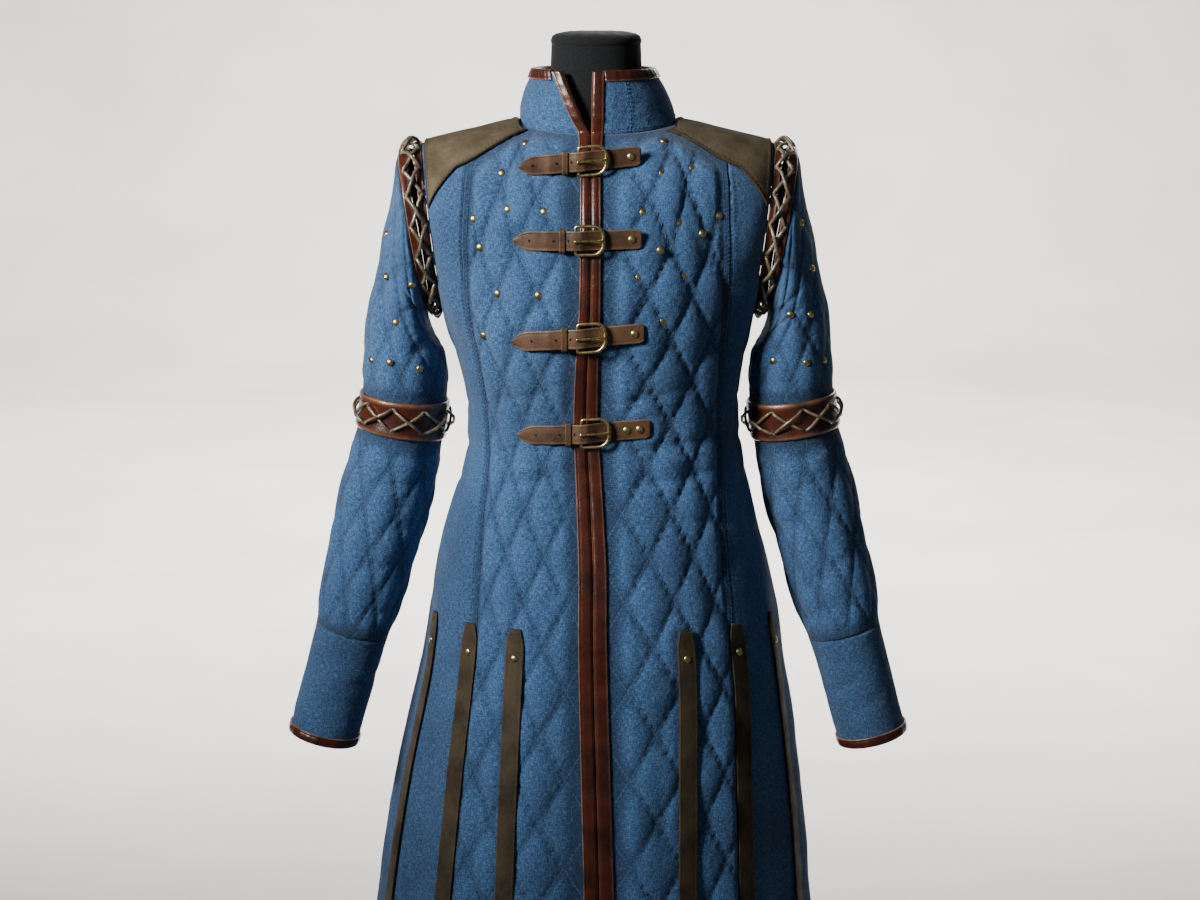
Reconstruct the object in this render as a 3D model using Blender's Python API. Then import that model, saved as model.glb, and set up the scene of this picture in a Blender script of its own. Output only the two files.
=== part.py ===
"""A quilted gambeson on a limbless dress form, with its leather, straps, buckles and laces.

Metres, +Z up, the front faces -Y. The origin is the centre of the stand's underside.
Sizes in the tables are millimetres and are turned into metres by MM.
"""

import math

import bmesh
import bpy
import numpy as np
from mathutils import Vector
from mathutils.bvhtree import BVHTree

MM = 0.001

# Clearances between neighbouring pieces.
SEAM_GAP = 0.3 * MM
REST_GAP = 0.5 * MM

# Cloth: a padded wall, raised between the stitch lines.
CLOTH_WALL = 4.0 * MM
QUILT_RISE = 5.0 * MM
EDGE_RISE = 1.5 * MM
SLEEVE_RISE = 3.5 * MM
CHANNEL_RISE = 1.5 * MM
LEATHER = 2.0 * MM
FOLDED_LEATHER = 0.75 * LEATHER

# The torso grid: columns run from the front opening (0) round one side to the middle of the back (20).
PRINCESS = 6
ARM_FRONT = 8
ARM_BACK = 12
BACK_PRINCESS = 14
MID_BACK = 20
NECK_SIDE = 4
UNDERARM_ROW = 18
YOKE_ROW = 19
TOP_ROW = 22
HEM_HEIGHT = 400 * MM
UNDERARM_HEIGHT = 1258 * MM
YOKE_HEIGHT = 1306 * MM
ROUNDNESS = 2 / 2.25

# The side panels' folds, from the height where they start down to the hem.
FOLD_DEPTH = 9 * MM
FOLD_START = 1000 * MM

# Where the yoke bends between the breast line and its top, as shares of the way in and of the way up.
BREAST_BEND = (0.30, 0.62)
SHOULDER_BEND = (0.12, 0.96)

# How many columns away the armhole still draws the cloth out, and turns its outward direction.
ARMHOLE_PULL = 3.5
ARMHOLE_TURN = 1.5

# Torso sections: half width, depth to the front and back of the axis, the axis's sideways lean,
# where the front opening lies and how far out the princess seam is.
SECTION_NAMES = ("height", "half_width", "front", "back", "lean", "opening", "princess")
SECTIONS = (
    (400, 258, 212, 222, -5, 1, 180),
    (534, 246, 198, 206, -5, 2, 170),
    (716, 224, 173, 182, 1, -2, 158),
    (834, 203, 154, 166, 6, -5, 149),
    (892, 195, 146, 158, 6, -6, 143),
    (956, 184, 134, 147, 4, -6, 138),
    (1010, 170, 122, 132, 5, -8, 134),
    (1071, 154, 111, 117, 7, -11, 130),
    (1109, 150, 108, 111, 6, -13, 129),
    (1180, 157, 116, 111, 2, -12, 134),
    (1237, 171, 124, 115, -2, -9, 139),
    (1306, 176, 122, 117, -3, -8, 139),
)

# The neckline, where the panels meet the collar.
NECK_HALF_WIDTH = 86 * MM
NECK_FRONT = 62 * MM
NECK_BACK = 64 * MM
NECK_HEIGHT = 1437 * MM
NECK_DIP = 12 * MM
SEAM_AT_PRINCESS = 0.46

# The collar's upper edge.
COLLAR_HALF_WIDTH = 66 * MM
COLLAR_FRONT = 56 * MM
COLLAR_BACK = 60 * MM
COLLAR_HEIGHT = 1492 * MM
COLLAR_SHIFT = -5 * MM
COLLAR_SWELL = 3 * MM
COLLAR_ROWS = (0.0, 0.5, 1.0)
COLLAR_BINDING_WIDTH = 11 * MM
COLLAR_BINDING_RISE = 0.9 * MM
COLLAR_BINDING_ROOM = 0.6 * MM
COLLAR_BINDING_START = 1.5 * MM
COLLAR_CORNER = {1: math.radians(-2), -1: math.radians(30)}

# Rings of the arm from the armhole to the cuff: centre, tilt of the ring from upright, half sizes.
ARM_NAMES = ("x", "y", "z", "tilt", "up", "depth")
ARM_RINGS = (
    (182, 0, 1320, 7, 92, 62),
    (190, 0, 1319, 7.5, 92, 63),
    (196, 0, 1317, 8.5, 91, 64),
    (204, 0, 1313, 10, 89, 65),
    (208, 0, 1283, 15, 72, 64),
    (211, 0, 1257, 25, 59, 62),
    (213, 0, 1230, 41, 48, 60),
    (214, 0, 1198, 66, 44, 58),
    (215, 0, 1158, 82, 46, 57),
    (218, -1, 1110, 82, 48, 55),
    (228, -3, 1062, 78, 48, 53),
    (240, -8, 1013, 76, 49, 51),
    (252, -14, 965, 75, 47, 49),
    (264, -21, 916, 75, 44.5, 46.5),
    (277, -29, 868, 75, 41, 44),
    (288, -35, 828, 75, 39.5, 42),
    (299, -41, 788, 75, 39, 40.5),
    (310, -46, 748, 76, 38.5, 39.5),
)
STRIP_RING, GAP_RING, SLEEVE_STRIP_RING, SLEEVE_RING = 0, 1, 2, 3
ELBOW_RING, FOREARM_RING, CUFF_RING = 9, 14, 17
ELBOW_REACH = 0.42
SLEEVE_COLUMNS = 16
STRIP_SEGMENTS = 24
STRIP_GAP = 0.4 * MM
BAND_GAP = 0.35 * MM

# The gaps at the elbow's and the forearm's seams, as shares of the way to the next ring.
ELBOW_JOINT = 0.007
FOREARM_JOINT = 0.01

# Bindings: the front one is broad on the skirt and narrow on the chest.
CUFF_BINDING_WIDTH = 10 * MM
FRONT_BINDING_ROWS = (0, 12, 18)
FRONT_BINDING_WIDTHS = (15 * MM, 13 * MM, 9 * MM)

# Shoulder patches: their columns, the way over the shoulder, and the row of their lower edge.
PATCH_COLUMNS = (4.15, 4.5, 5.0, 5.5, 6.0, 6.5, 7.0, 7.5, 7.9)
PATCH_STEPS = 5
PATCH_LIFT = 1.3 * MM
PATCH_LEAN = 1.5
PATCH_EDGE_COLUMNS = (2.6, 3.6, 4.5, 5.5, 6.4, 7.0, 7.5, 8)
PATCH_EDGE_ROWS = (21.8, 21.25, 20.9, 20.6, 20.4, 20.05, 19.75, 19.45)

# Fastenings: height and x of the buckle's middle, strap ends, slope of the strap.
FASTENING_NAMES = ("height", "buckle", "tip", "end", "slope")
FASTENINGS = (
    (1400, -6, -86, 46, 0.09),
    (1318, -9, -92, 47, 0.02),
    (1214, -7, -95, 50, 0.08),
    (1108, -3, -89, 57, 0.07),
)
STRAP_WIDTH = 21 * MM
STRAP_THICKNESS = 2.4 * MM
BUCKLE_WIDTH = 33 * MM
BUCKLE_HEIGHT = 34 * MM
WIRE_RADIUS = 1.8 * MM
STRAP_STEP = 10 * MM

# A strap's widths along it, from its tip and from its end: (distance, share of the whole width).
STRAP_TIP = (20 * MM, 0.08)
STRAP_END = (5 * MM, 0.7)

# Places along a strap from the buckle's middle: the chape and the bar lift it there.
STRAP_STOPS = (-52 * MM, -47 * MM, -23 * MM, -17 * MM, -8 * MM, 4 * MM)
CHAPE_STOPS = (-46 * MM, -40 * MM, -30 * MM, -19 * MM)
CHAPE_SHARES = (0.6, 0.9, 0.9, 0.9)

# Looks taken at the cloth under a strap: along it, and across it in strap widths.
BED_LOOKS_ALONG = (-4 * MM, 0.0, 4 * MM)
BED_LOOKS_ACROSS = (-0.55, -0.28, 0, 0.28, 0.55)

# The buckle's round end, its tongue, and the keeper.
BUCKLE_BEND = 9 * MM
BUCKLE_BEND_STEPS = 6
BUCKLE_RISE = 0.8 * MM
WIRE_SIDES = 6
TONGUE_HALF_WIDTH = 1.6 * MM
TONGUE_HALF_THICKNESS = 1.0 * MM
TONGUE_RISE = 1.2 * MM
TONGUE_START = -1.0 * MM
TONGUE_END = 0.5 * MM
KEEPER_PLACE = -29 * MM
KEEPER_WIDTH = 6 * MM
KEEPER_LEATHER = 1.6 * MM
KEEPER_FOOT_GAP = 0.2 * MM

# Skirt strips: column on the torso grid at the top and at the hem.
SKIRT_STRIPS = {"front": (3.35, 3.05), "seam": (6.05, 6.0), "side": (8.2, 8.0),
                "back_seam": (13.9, 14.0), "back": (17.0, 17.2)}
STRIP_TOP_ROW = 10.35
STRIP_WIDTH = 21 * MM
STRIP_STEPS = 10
STRIP_HEM_ROW = 0.02
STRIP_CLIPPED = 0.75

# Looks taken at the cloth under a skirt strip: across it in half widths, and up and down.
STRIP_LOOKS_ACROSS = (-1.0, -0.66, -0.33, 0.0, 0.33, 0.66, 1.0)
STRIP_LOOKS_UP = (-12 * MM, -6 * MM, 0.0, 6 * MM, 12 * MM)
STRIP_LOOK_REACH = 60 * MM

# Laces.
LACE_LIFT = 1.0 * MM
LACE_CROSSING_GAP = 0.6 * MM
ARMHOLE_LACE = {"turns": 17, "points": 2, "low": 0.35, "high": 2.65, "radius": 2.0 * MM}
ELBOW_LACE = {"turns": 9, "points": 2, "low": 8.74, "high": 9.26, "radius": 1.7 * MM}

# The dress form and its stand.
FORM_BOTTOM_ROW = 9
FORM_TUCK = 9 * MM
FORM_TUCK_ROWS = 5
NECK_FORM_CENTRE = (-2 * MM, 3 * MM)
NECK_FORM_RADIUS = 49 * MM
NECK_FORM_TOP = 1519 * MM
POLE_RADIUS = 16 * MM
POLE_SEGMENTS = 16
BASE_RADIUS = 190 * MM
BASE_THICKNESS = 22 * MM
BASE_BEVEL = 4 * MM
ROUND_SEGMENTS = 32

# The neck above the neckline (height, half width, half depth) and its cap (radius, height).
NECK_FORM_RINGS = (
    (1452 * MM, 60 * MM, 50 * MM),
    (1466 * MM, 51 * MM, 50 * MM),
    (NECK_FORM_TOP, NECK_FORM_RADIUS, NECK_FORM_RADIUS),
)
CAP_PROFILE = (
    (NECK_FORM_RADIUS, NECK_FORM_TOP + SEAM_GAP),
    (49.5 * MM, 1524 * MM),
    (46 * MM, 1529 * MM),
    (36 * MM, 1532 * MM),
    (10 * MM, 1533 * MM),
)

COLOURS = {
    "blue_canvas": ((0.05, 0.13, 0.30), 0.9, 0.0),
    "olive_leather": ((0.085, 0.07, 0.045), 0.7, 0.0),
    "red_brown_leather": ((0.13, 0.035, 0.018), 0.45, 0.0),
    "strap_leather": ((0.075, 0.045, 0.028), 0.6, 0.0),
    "antique_brass": ((0.55, 0.42, 0.18), 0.35, 1.0),
    "bronze_thong": ((0.10, 0.09, 0.075), 0.4, 0.1),
    "black_jersey": ((0.02, 0.022, 0.025), 0.9, 0.0),
    "dark_steel": ((0.05, 0.05, 0.055), 0.4, 0.8),
}


def clearScene():
    for thing in list(bpy.data.objects):
        bpy.data.objects.remove(thing, do_unlink=True)


def material(name):
    if name in bpy.data.materials:
        return bpy.data.materials[name]
    colour, roughness, metallic = COLOURS[name]
    made = bpy.data.materials.new(name)
    made.use_nodes = True
    shader = made.node_tree.nodes["Principled BSDF"]
    shader.inputs["Base Color"].default_value = (*colour, 1.0)
    shader.inputs["Roughness"].default_value = roughness
    shader.inputs["Metallic"].default_value = metallic
    return made


def addMesh(name, points, faces, finish):
    """One closed solid from its points and faces, with its faces turned outward."""
    mesh = bpy.data.meshes.new(name)
    mesh.from_pydata([tuple(p) for p in points], [], faces)
    work = bmesh.new()
    work.from_mesh(mesh)
    bmesh.ops.recalc_face_normals(work, faces=work.faces)
    work.to_mesh(mesh)
    work.free()
    mesh.shade_smooth()
    mesh.set_sharp_from_angle(angle=math.radians(40))
    made = bpy.data.objects.new(name, mesh)
    made.data.materials.append(material(finish))
    bpy.context.collection.objects.link(made)
    return made


def between(places, values, at):
    """A smooth curve through a table's values (cubic, with each row's slope from its neighbours)."""
    places, values = np.asarray(places, float), np.asarray(values, float)
    slopes = np.gradient(values, places)
    at = float(np.clip(at, places[0], places[-1]))
    row = min(int(np.searchsorted(places, at, side="right")) - 1, len(places) - 2)
    step = places[row + 1] - places[row]
    s = (at - places[row]) / step
    return float(
        (2 * s**3 - 3 * s**2 + 1) * values[row]
        + (s**3 - 2 * s**2 + s) * step * slopes[row]
        + (3 * s**2 - 2 * s**3) * values[row + 1]
        + (s**3 - s**2) * step * slopes[row + 1]
    )


def easing(distance, reach):
    """1 at no distance, 0 from the reach on."""
    s = max(0.0, 1 - distance / reach)
    return s * s * (3 - 2 * s)


def unit(vector):
    return vector / max(float(np.linalg.norm(vector)), 1e-12)


def power(value):
    return math.copysign(abs(value) ** ROUNDNESS, value)


def section(height):
    """The torso's section at a height, in metres, by the names of its columns."""
    heights = [row[0] * MM for row in SECTIONS]
    return {name: between(heights, [row[i] * MM for row in SECTIONS], height)
            for i, name in enumerate(SECTION_NAMES)}


def angleOf(share):
    """The section angle at which the outline is this share of the half width from the middle."""
    return math.asin(math.copysign(min(1.0, abs(share)) ** (1 / ROUNDNESS), share))


def columnAngle(side, column, cut):
    opening = side * angleOf((cut["opening"] - cut["lean"]) / cut["half_width"])
    seam = angleOf(cut["princess"] / cut["half_width"])
    stops = (0, PRINCESS, BACK_PRINCESS, MID_BACK)
    return float(np.interp(column, stops, (opening, seam, math.pi - seam, math.pi)))


def sectionPoint(side, column, height):
    cut = section(height)
    angle = columnAngle(side, column, cut)
    depth = cut["front"] if math.cos(angle) > 0 else cut["back"]
    x = cut["lean"] + side * cut["half_width"] * power(math.sin(angle))
    fold = sideFold(column, height)
    return np.array((x + side * fold, -depth * power(math.cos(angle)), height))


def sideFold(column, height):
    """The side panels' soft folds, which open towards the hem."""
    reach = max(0.0, (FOLD_START - height) / (FOLD_START - HEM_HEIGHT))
    inside = max(0.0, min(column - PRINCESS, BACK_PRINCESS - column)) / (MID_BACK / 2 - PRINCESS)
    wave = math.cos((column - (ARM_FRONT + ARM_BACK) / 2) * math.pi)
    return FOLD_DEPTH * reach * wave * min(1.0, 2 * inside)


def topPoint(side, column):
    """Where a column ends: on the neckline, or on the shoulder seam out to the armhole."""
    mirrored = min(column, MID_BACK - column)
    behind = column > MID_BACK / 2
    cut = section(YOKE_HEIGHT)
    if mirrored <= NECK_SIDE:
        start = 0.0 if behind else side * math.asin(cut["opening"] / NECK_HALF_WIDTH)
        angle = start + (math.pi / 2 - start) * mirrored / NECK_SIDE
        depth = NECK_BACK if behind else -NECK_FRONT
        height = NECK_HEIGHT + (NECK_DIP if behind else -NECK_DIP) * math.cos(angle)
        return np.array((side * NECK_HALF_WIDTH * math.sin(angle), depth * math.cos(angle), height))
    neck = np.array((side * NECK_HALF_WIDTH, 0.0, NECK_HEIGHT))
    tip = ringPoint(side, STRIP_RING, 0.0)
    share = np.interp(mirrored, (NECK_SIDE, PRINCESS, ARM_FRONT), (0.0, SEAM_AT_PRINCESS, 1.0))
    return neck + (tip - neck) * share


def plainTorso(side, column, row):
    """The torso's surface before the armhole draws it out."""
    if row <= YOKE_ROW:
        rows = (0, UNDERARM_ROW, YOKE_ROW)
        height = float(np.interp(row, rows, (HEM_HEIGHT, UNDERARM_HEIGHT, YOKE_HEIGHT)))
        return sectionPoint(side, column, height)
    low, top = sectionPoint(side, column, YOKE_HEIGHT), topPoint(side, column)
    mirrored = min(column, MID_BACK - column)
    shoulder = 1 - easing(mirrored, NECK_SIDE + 1)
    inward, upward = (b + (s - b) * shoulder for b, s in zip(BREAST_BEND, SHOULDER_BEND))
    bend = low + (top - low) * np.array((0.5, inward, upward))
    s = (row - YOKE_ROW) / (TOP_ROW - YOKE_ROW)
    return (1 - s) ** 2 * low + 2 * s * (1 - s) * bend + s * s * top


def armholeStep(column, row):
    """The nearest place on the armhole's edge, how far off it is, and its angle round the ring."""
    near_column = min(max(column, ARM_FRONT), ARM_BACK)
    if row > UNDERARM_ROW:
        near_column = ARM_FRONT if column < MID_BACK / 2 else ARM_BACK
        near_row = row
        distance = abs(column - near_column)
    else:
        near_row = UNDERARM_ROW
        distance = math.hypot(column - near_column, UNDERARM_ROW - row)
    if near_row > UNDERARM_ROW:
        step = 2 * (TOP_ROW - near_row)
        step = step if near_column == ARM_FRONT else STRIP_SEGMENTS - step
    else:
        step = STRIP_SEGMENTS / 3 + 2 * (near_column - ARM_FRONT)
    return near_column, near_row, distance, step * 2 * math.pi / STRIP_SEGMENTS


def torsoPoint(side, column, row):
    """A point of the coat's body: the stitched level of its outer face."""
    point = plainTorso(side, column, row)
    near_column, near_row, distance, angle = armholeStep(column, row)
    pull = easing(distance, ARMHOLE_PULL)
    if pull > 0:
        edge = ringPoint(side, STRIP_RING, angle)
        point = point + pull * (edge - plainTorso(side, near_column, near_row))
    return point


def torsoNormal(side, column, row):
    """The outward direction at a place on the body, the same for all panels that meet there."""
    normal = facing(side, column, row)
    if column == 0:
        normal = unit(normal + facing(-side, column, row))
    if row > TOP_ROW - 0.05 and min(column, MID_BACK - column) >= NECK_SIDE:
        normal = unit(normal + facing(side, MID_BACK - column, row))
        normal[1] = 0.0
    if column == MID_BACK:
        normal[0] = 0.0
    near_column, near_row, distance, angle = armholeStep(column, row)
    pull = easing(distance, ARMHOLE_TURN)
    return unit(normal * (1 - pull) + ringRadial(side, STRIP_RING, angle) * pull)


def facing(side, column, row):
    """Across and along the surface, and square to both."""
    step = 0.05
    lower, upper = max(0.0, row - step), min(TOP_ROW, row + step)
    back, ahead = max(0.0, column - step), min(MID_BACK, column + step)
    if row >= UNDERARM_ROW and abs(column - ARM_FRONT) < step:
        ahead = column
    if row >= UNDERARM_ROW and abs(column - ARM_BACK) < step:
        back = column
    across = torsoPoint(side, ahead, row) - torsoPoint(side, back, row)
    up = torsoPoint(side, column, upper) - torsoPoint(side, column, lower)
    return unit(np.cross(across, up)) * side


def armRing(station):
    """The arm's ring at a station, which may lie between two rows of the table."""
    places = range(len(ARM_RINGS))
    return {name: between(places, [row[i] for row in ARM_RINGS], station)
            for i, name in enumerate(ARM_NAMES)}


def ringPoint(side, station, angle, lift=0.0):
    """A point of the arm; angle 0 is the top or outer side, and the front comes next."""
    ring = armRing(station)
    tilt = math.radians(ring["tilt"])
    up = np.array((side * math.sin(tilt), 0.0, math.cos(tilt)))
    centre = np.array((side * ring["x"], ring["y"], ring["z"])) * MM
    depth = np.array((0.0, -1.0, 0.0))
    point = centre + MM * (ring["up"] * math.cos(angle) * up + ring["depth"] * math.sin(angle) * depth)
    return point + lift * ringRadial(side, station, angle)


def ringRadial(side, station, angle):
    """The direction out of the arm at a point, within the ring's own plane."""
    ring = armRing(station)
    tilt = math.radians(ring["tilt"])
    up = np.array((side * math.sin(tilt), 0.0, math.cos(tilt)))
    depth = np.array((0.0, -1.0, 0.0))
    return unit(math.cos(angle) / ring["up"] * up + math.sin(angle) / ring["depth"] * depth)


def gridTriangles(columns, rows, index, keep, even):
    """Two triangles for each cell of a grid, split along the stitch line between its low corners."""
    triangles = []
    for i in range(columns):
        for j in range(rows):
            if not keep(i, j):
                continue
            a, b, c, d = index(i, j), index(i + 1, j), index(i + 1, j + 1), index(i, j + 1)
            if even(i, j):
                triangles += [(a, b, c), (a, c, d)]
            else:
                triangles += [(a, b, d), (b, c, d)]
    return triangles


def shell(name, outer, inner, triangles, finish):
    """A wall: outer triangles, the same ones inside turned round, and a rim along each free edge."""
    count = len(outer)
    used = dict.fromkeys(edge for a, b, c in triangles for edge in ((a, b), (b, c), (c, a)))
    rim = []
    for a, b in used:
        if (b, a) in used:
            continue
        if outer[a][2] <= outer[b][2]:
            rim += [(b, a, b + count), (a, a + count, b + count)]
        else:
            rim += [(b, a, a + count), (b, a + count, b + count)]
    inside = [(c + count, b + count, a + count) for a, b, c in triangles]
    points = list(outer) + list(inner)
    kept = sorted({v for face in triangles for v in face} | {v + count for face in triangles for v in face})
    order = {v: k for k, v in enumerate(kept)}
    faces = [tuple(order[v] for v in face) for face in [*triangles, *inside, *rim]]
    return addMesh(name, [points[v] for v in kept], faces, finish)


def quiltRise(column, row, quilted):
    """How far the padding stands out: full in the middle of a diamond, nothing on a stitch line."""
    mirrored = min(column, MID_BACK - column)
    under_patch = mirrored >= NECK_SIDE and row >= YOKE_ROW + 1
    if row in (0, TOP_ROW) or under_patch or mirrored in (PRINCESS, ARM_FRONT):
        return 0.0
    if not quilted:
        return CHANNEL_RISE if column % 2 and row < UNDERARM_ROW else 0.0
    if (column + row) % 2 == 0 or column == 0:
        return 0.0
    return EDGE_RISE if column == 1 else QUILT_RISE


def bodyPanel(name, keys, quilted):
    """One panel of the body over a run of (side, column) keys, from hem to top."""
    rows = TOP_ROW
    outer, inner = [], []
    for side, column in keys:
        for row in range(rows + 1):
            point, normal = torsoPoint(side, column, row), torsoNormal(side, column, row)
            if column == 0:
                point, _, normal = frontFrame(side, row)
            outer.append(point + normal * quiltRise(column, row, quilted))
            inner.append(point - normal * CLOTH_WALL)
    outer, inner = np.array(outer), np.array(inner)

    def index(i, j):
        return i * (rows + 1) + j

    def keep(i, j):
        middle = (keys[i][1] + keys[i + 1][1]) / 2
        return not (ARM_FRONT < middle < ARM_BACK and j >= UNDERARM_ROW)

    def even(i, j):
        return (keys[i][1] + j) % 2 == 0

    insetSeams(outer, inner, keys, rows, index)
    triangles = gridTriangles(len(keys) - 1, rows, index, keep, even)
    return shell(name, outer, inner, triangles, "blue_canvas")


def insetSeams(outer, inner, keys, rows, index):
    """Draw a panel's edges in from its seams."""
    last = len(keys) - 1
    moves = []
    for edge, neighbour in ((0, 1), (last, last - 1)):
        gap = 0.0 if keys[edge][1] == 0 else SEAM_GAP / 2
        moves += [(index(edge, j), index(neighbour, j), gap) for j in range(rows + 1)]
    moves += [(index(i, rows), index(i, rows - 1), SEAM_GAP / 2) for i in range(last + 1)]
    for points in (outer, inner):
        steps = [(a, unit(points[b] - points[a]) * gap) for a, b, gap in moves]
        for a, step in steps:
            points[a] += step


def bindingRoom(inward, normal):
    """From the front opening's line to a panel's edge: the folded leather, its clearances and its slant."""
    slant = abs(float(inward @ normal)) * (CLOTH_WALL + LEATHER + SEAM_GAP)
    return FOLDED_LEATHER + 1.5 * SEAM_GAP + slant


def frontFrame(side, row):
    """A panel's front edge: its place, the way into the panel, and the way out of the cloth."""
    edge, ahead = torsoPoint(side, 0, row), torsoPoint(side, 1, row)
    normal, inward = torsoNormal(side, 0, row), unit(ahead - edge)
    outward = unit(normal - inward * float(normal @ inward))
    return edge + inward * bindingRoom(inward, normal), inward, outward


def collarFrame(side, share):
    """The collar's front edge, as frontFrame gives the panel's."""
    edge, ahead = collarSeat(side, 0, share), collarSeat(side, 1, share)
    normal, inward = collarNormal(side, 0, share), unit(ahead - edge)
    outward = unit(normal - inward * float(normal @ inward))
    return edge + inward * bindingRoom(inward, normal), inward, outward


def buildBody():
    right = [(1, column) for column in range(MID_BACK + 1)]
    left = [(-1, column) for column in range(MID_BACK + 1)][::-1]
    bodyPanel("front_right", right[: PRINCESS + 1], True)
    bodyPanel("side_right", right[PRINCESS: BACK_PRINCESS + 1], False)
    bodyPanel("back", right[BACK_PRINCESS:] + left[1: MID_BACK - BACK_PRINCESS + 1], True)
    bodyPanel("side_left", left[MID_BACK - BACK_PRINCESS: MID_BACK - PRINCESS + 1], False)
    bodyPanel("front_left", left[MID_BACK - PRINCESS:], True)


def collarPoint(side, column, share):
    """The stand collar, from the neckline (share 0) to its upper edge (share 1)."""
    base = topPoint(side, column)
    behind = column > MID_BACK / 2
    mirrored = min(column, MID_BACK - column) / NECK_SIDE
    start = 0.0 if behind else COLLAR_CORNER[side]
    angle = start + (math.pi / 2 - start) * mirrored
    depth = COLLAR_BACK if behind else -COLLAR_FRONT
    top = np.array((
        COLLAR_SHIFT + side * COLLAR_HALF_WIDTH * math.sin(angle), depth * math.cos(angle), COLLAR_HEIGHT
    ))
    swell = COLLAR_SWELL * math.sin(math.pi * share) * unit(np.array((base[0], base[1], 0.0)))
    return base + (top - base) * share + swell


def collarNormal(side, column, share):
    """Square to the collar, but the body's own direction where it is sewn on."""
    if share == 0:
        return torsoNormal(side, column, TOP_ROW)
    step = 0.04
    stops = collarStops()
    low = stops[max(0, stops.index(column) - 1)]
    high = stops[min(len(stops) - 1, stops.index(column) + 1)]
    across = collarPoint(side, high, share) - collarPoint(side, low, share)
    if column == MID_BACK:
        across = np.array((1.0, 0.0, 0.0)) * -side
    up = collarPoint(side, column, min(1.0, share + step)) - collarPoint(side, column, share - step)
    return unit(np.cross(across, up)) * side


def collarStops():
    """The neckline's columns on one side, from the front opening to the middle of the back."""
    return [0, 1, 2, 3, NECK_SIDE, 17, 18, 19, MID_BACK]


def collarKeys():
    stops = collarStops()
    return [(1, column) for column in stops] + [(-1, column) for column in stops[-2::-1]]


def collarSeat(side, column, share):
    """The collar's surface, with its lower edge a seam's gap off the neckline."""
    point = collarPoint(side, column, share)
    if share > 0:
        return point
    last = torsoPoint(side, column, TOP_ROW)
    return last + SEAM_GAP * unit(last - torsoPoint(side, column, TOP_ROW - 0.1))


def buildCollar():
    keys, shares = collarKeys(), COLLAR_ROWS
    rows = len(shares) - 1
    outer, inner = [], []
    for side, column in keys:
        for share in shares:
            point, normal = collarSeat(side, column, share), collarNormal(side, column, share)
            if column == 0:
                point, inward, normal = collarFrame(side, share)
                point = point + inward * SEAM_GAP / 2
            outer.append(point)
            inner.append(point - normal * CLOTH_WALL)

    def index(i, j):
        return i * (rows + 1) + j

    triangles = gridTriangles(len(keys) - 1, rows, index, lambda i, j: True, lambda i, j: True)
    shell("collar", outer, inner, triangles, "blue_canvas")


def tube(name, rings, finish, closed_rows=False):
    """A closed solid from rings of points; the ends are filled unless the rows close on themselves."""
    count = len(rings[0])
    points = [p for ring in rings for p in ring]
    faces = []
    spans = len(rings) if closed_rows else len(rings) - 1
    for r in range(spans):
        low, high = r * count, (r + 1) % len(rings) * count
        for i in range(count):
            k = (i + 1) % count
            faces.append((low + i, low + k, high + k, high + i))
    if not closed_rows:
        faces.append(tuple(range(count))[::-1])
        faces.append(tuple(range((len(rings) - 1) * count, len(rings) * count)))
    return addMesh(name, points, faces, finish)


def sleevePart(name, side, stations):
    """A stretch of sleeve: quilted at the table's own rings, plain at the ones between."""
    rows = len(stations) - 1
    outer, inner = [], []
    for i in range(SLEEVE_COLUMNS):
        angle = 2 * math.pi * i / SLEEVE_COLUMNS
        for j, station in enumerate(stations):
            inside = 0 < j < rows and float(station).is_integer() and station < FOREARM_RING
            raised = SLEEVE_RISE if inside and (i + int(station)) % 2 else 0.0
            outer.append(ringPoint(side, station, angle, raised))
            inner.append(ringPoint(side, station, angle, -CLOTH_WALL))

    def index(i, j):
        return i % SLEEVE_COLUMNS * (rows + 1) + j

    def even(i, j):
        return (i + int(math.floor(stations[j]))) % 2 == 0

    triangles = gridTriangles(SLEEVE_COLUMNS, rows, index, lambda i, j: True, even)
    return shell(name, outer, inner, triangles, "blue_canvas")


def armBand(name, side, stations, low, high, finish, segments=STRIP_SEGMENTS):
    """A leather ring round the arm through some stations, from one lift above the cloth to another."""
    rings = []
    for i in range(segments):
        angle = 2 * math.pi * i / segments
        inside = [ringPoint(side, station, angle, low) for station in stations]
        outside = [ringPoint(side, station, angle, high) for station in stations]
        rings.append(inside + outside[::-1])
    return tube(name, rings, finish, closed_rows=True)


def sideName(side):
    return "right" if side > 0 else "left"


def gapStation(station, side, gap=SEAM_GAP):
    """A station moved on by a gap of real length along the arm's outer side."""
    ahead = np.linalg.norm(ringPoint(side, station + 0.1, math.pi) - ringPoint(side, station, math.pi))
    return station + 0.1 * gap / max(ahead, 0.4 * MM)


def buildSleeves():
    for side in (1, -1):
        end = sideName(side)
        joint = gapStation(SLEEVE_RING, side)
        above, below = ELBOW_RING - ELBOW_REACH, ELBOW_RING + ELBOW_REACH
        upper = [joint, *range(SLEEVE_RING + 1, ELBOW_RING), above, ELBOW_RING - ELBOW_JOINT]
        lower = [ELBOW_RING, below, *range(ELBOW_RING + 1, FOREARM_RING + 1)]
        sleevePart(f"upper_sleeve_{end}", side, upper)
        forearm = [FOREARM_RING + FOREARM_JOINT, *range(FOREARM_RING + 1, CUFF_RING + 1)]
        sleevePart(f"lower_sleeve_{end}", side, lower)
        sleevePart(f"forearm_{end}", side, forearm)


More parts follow.
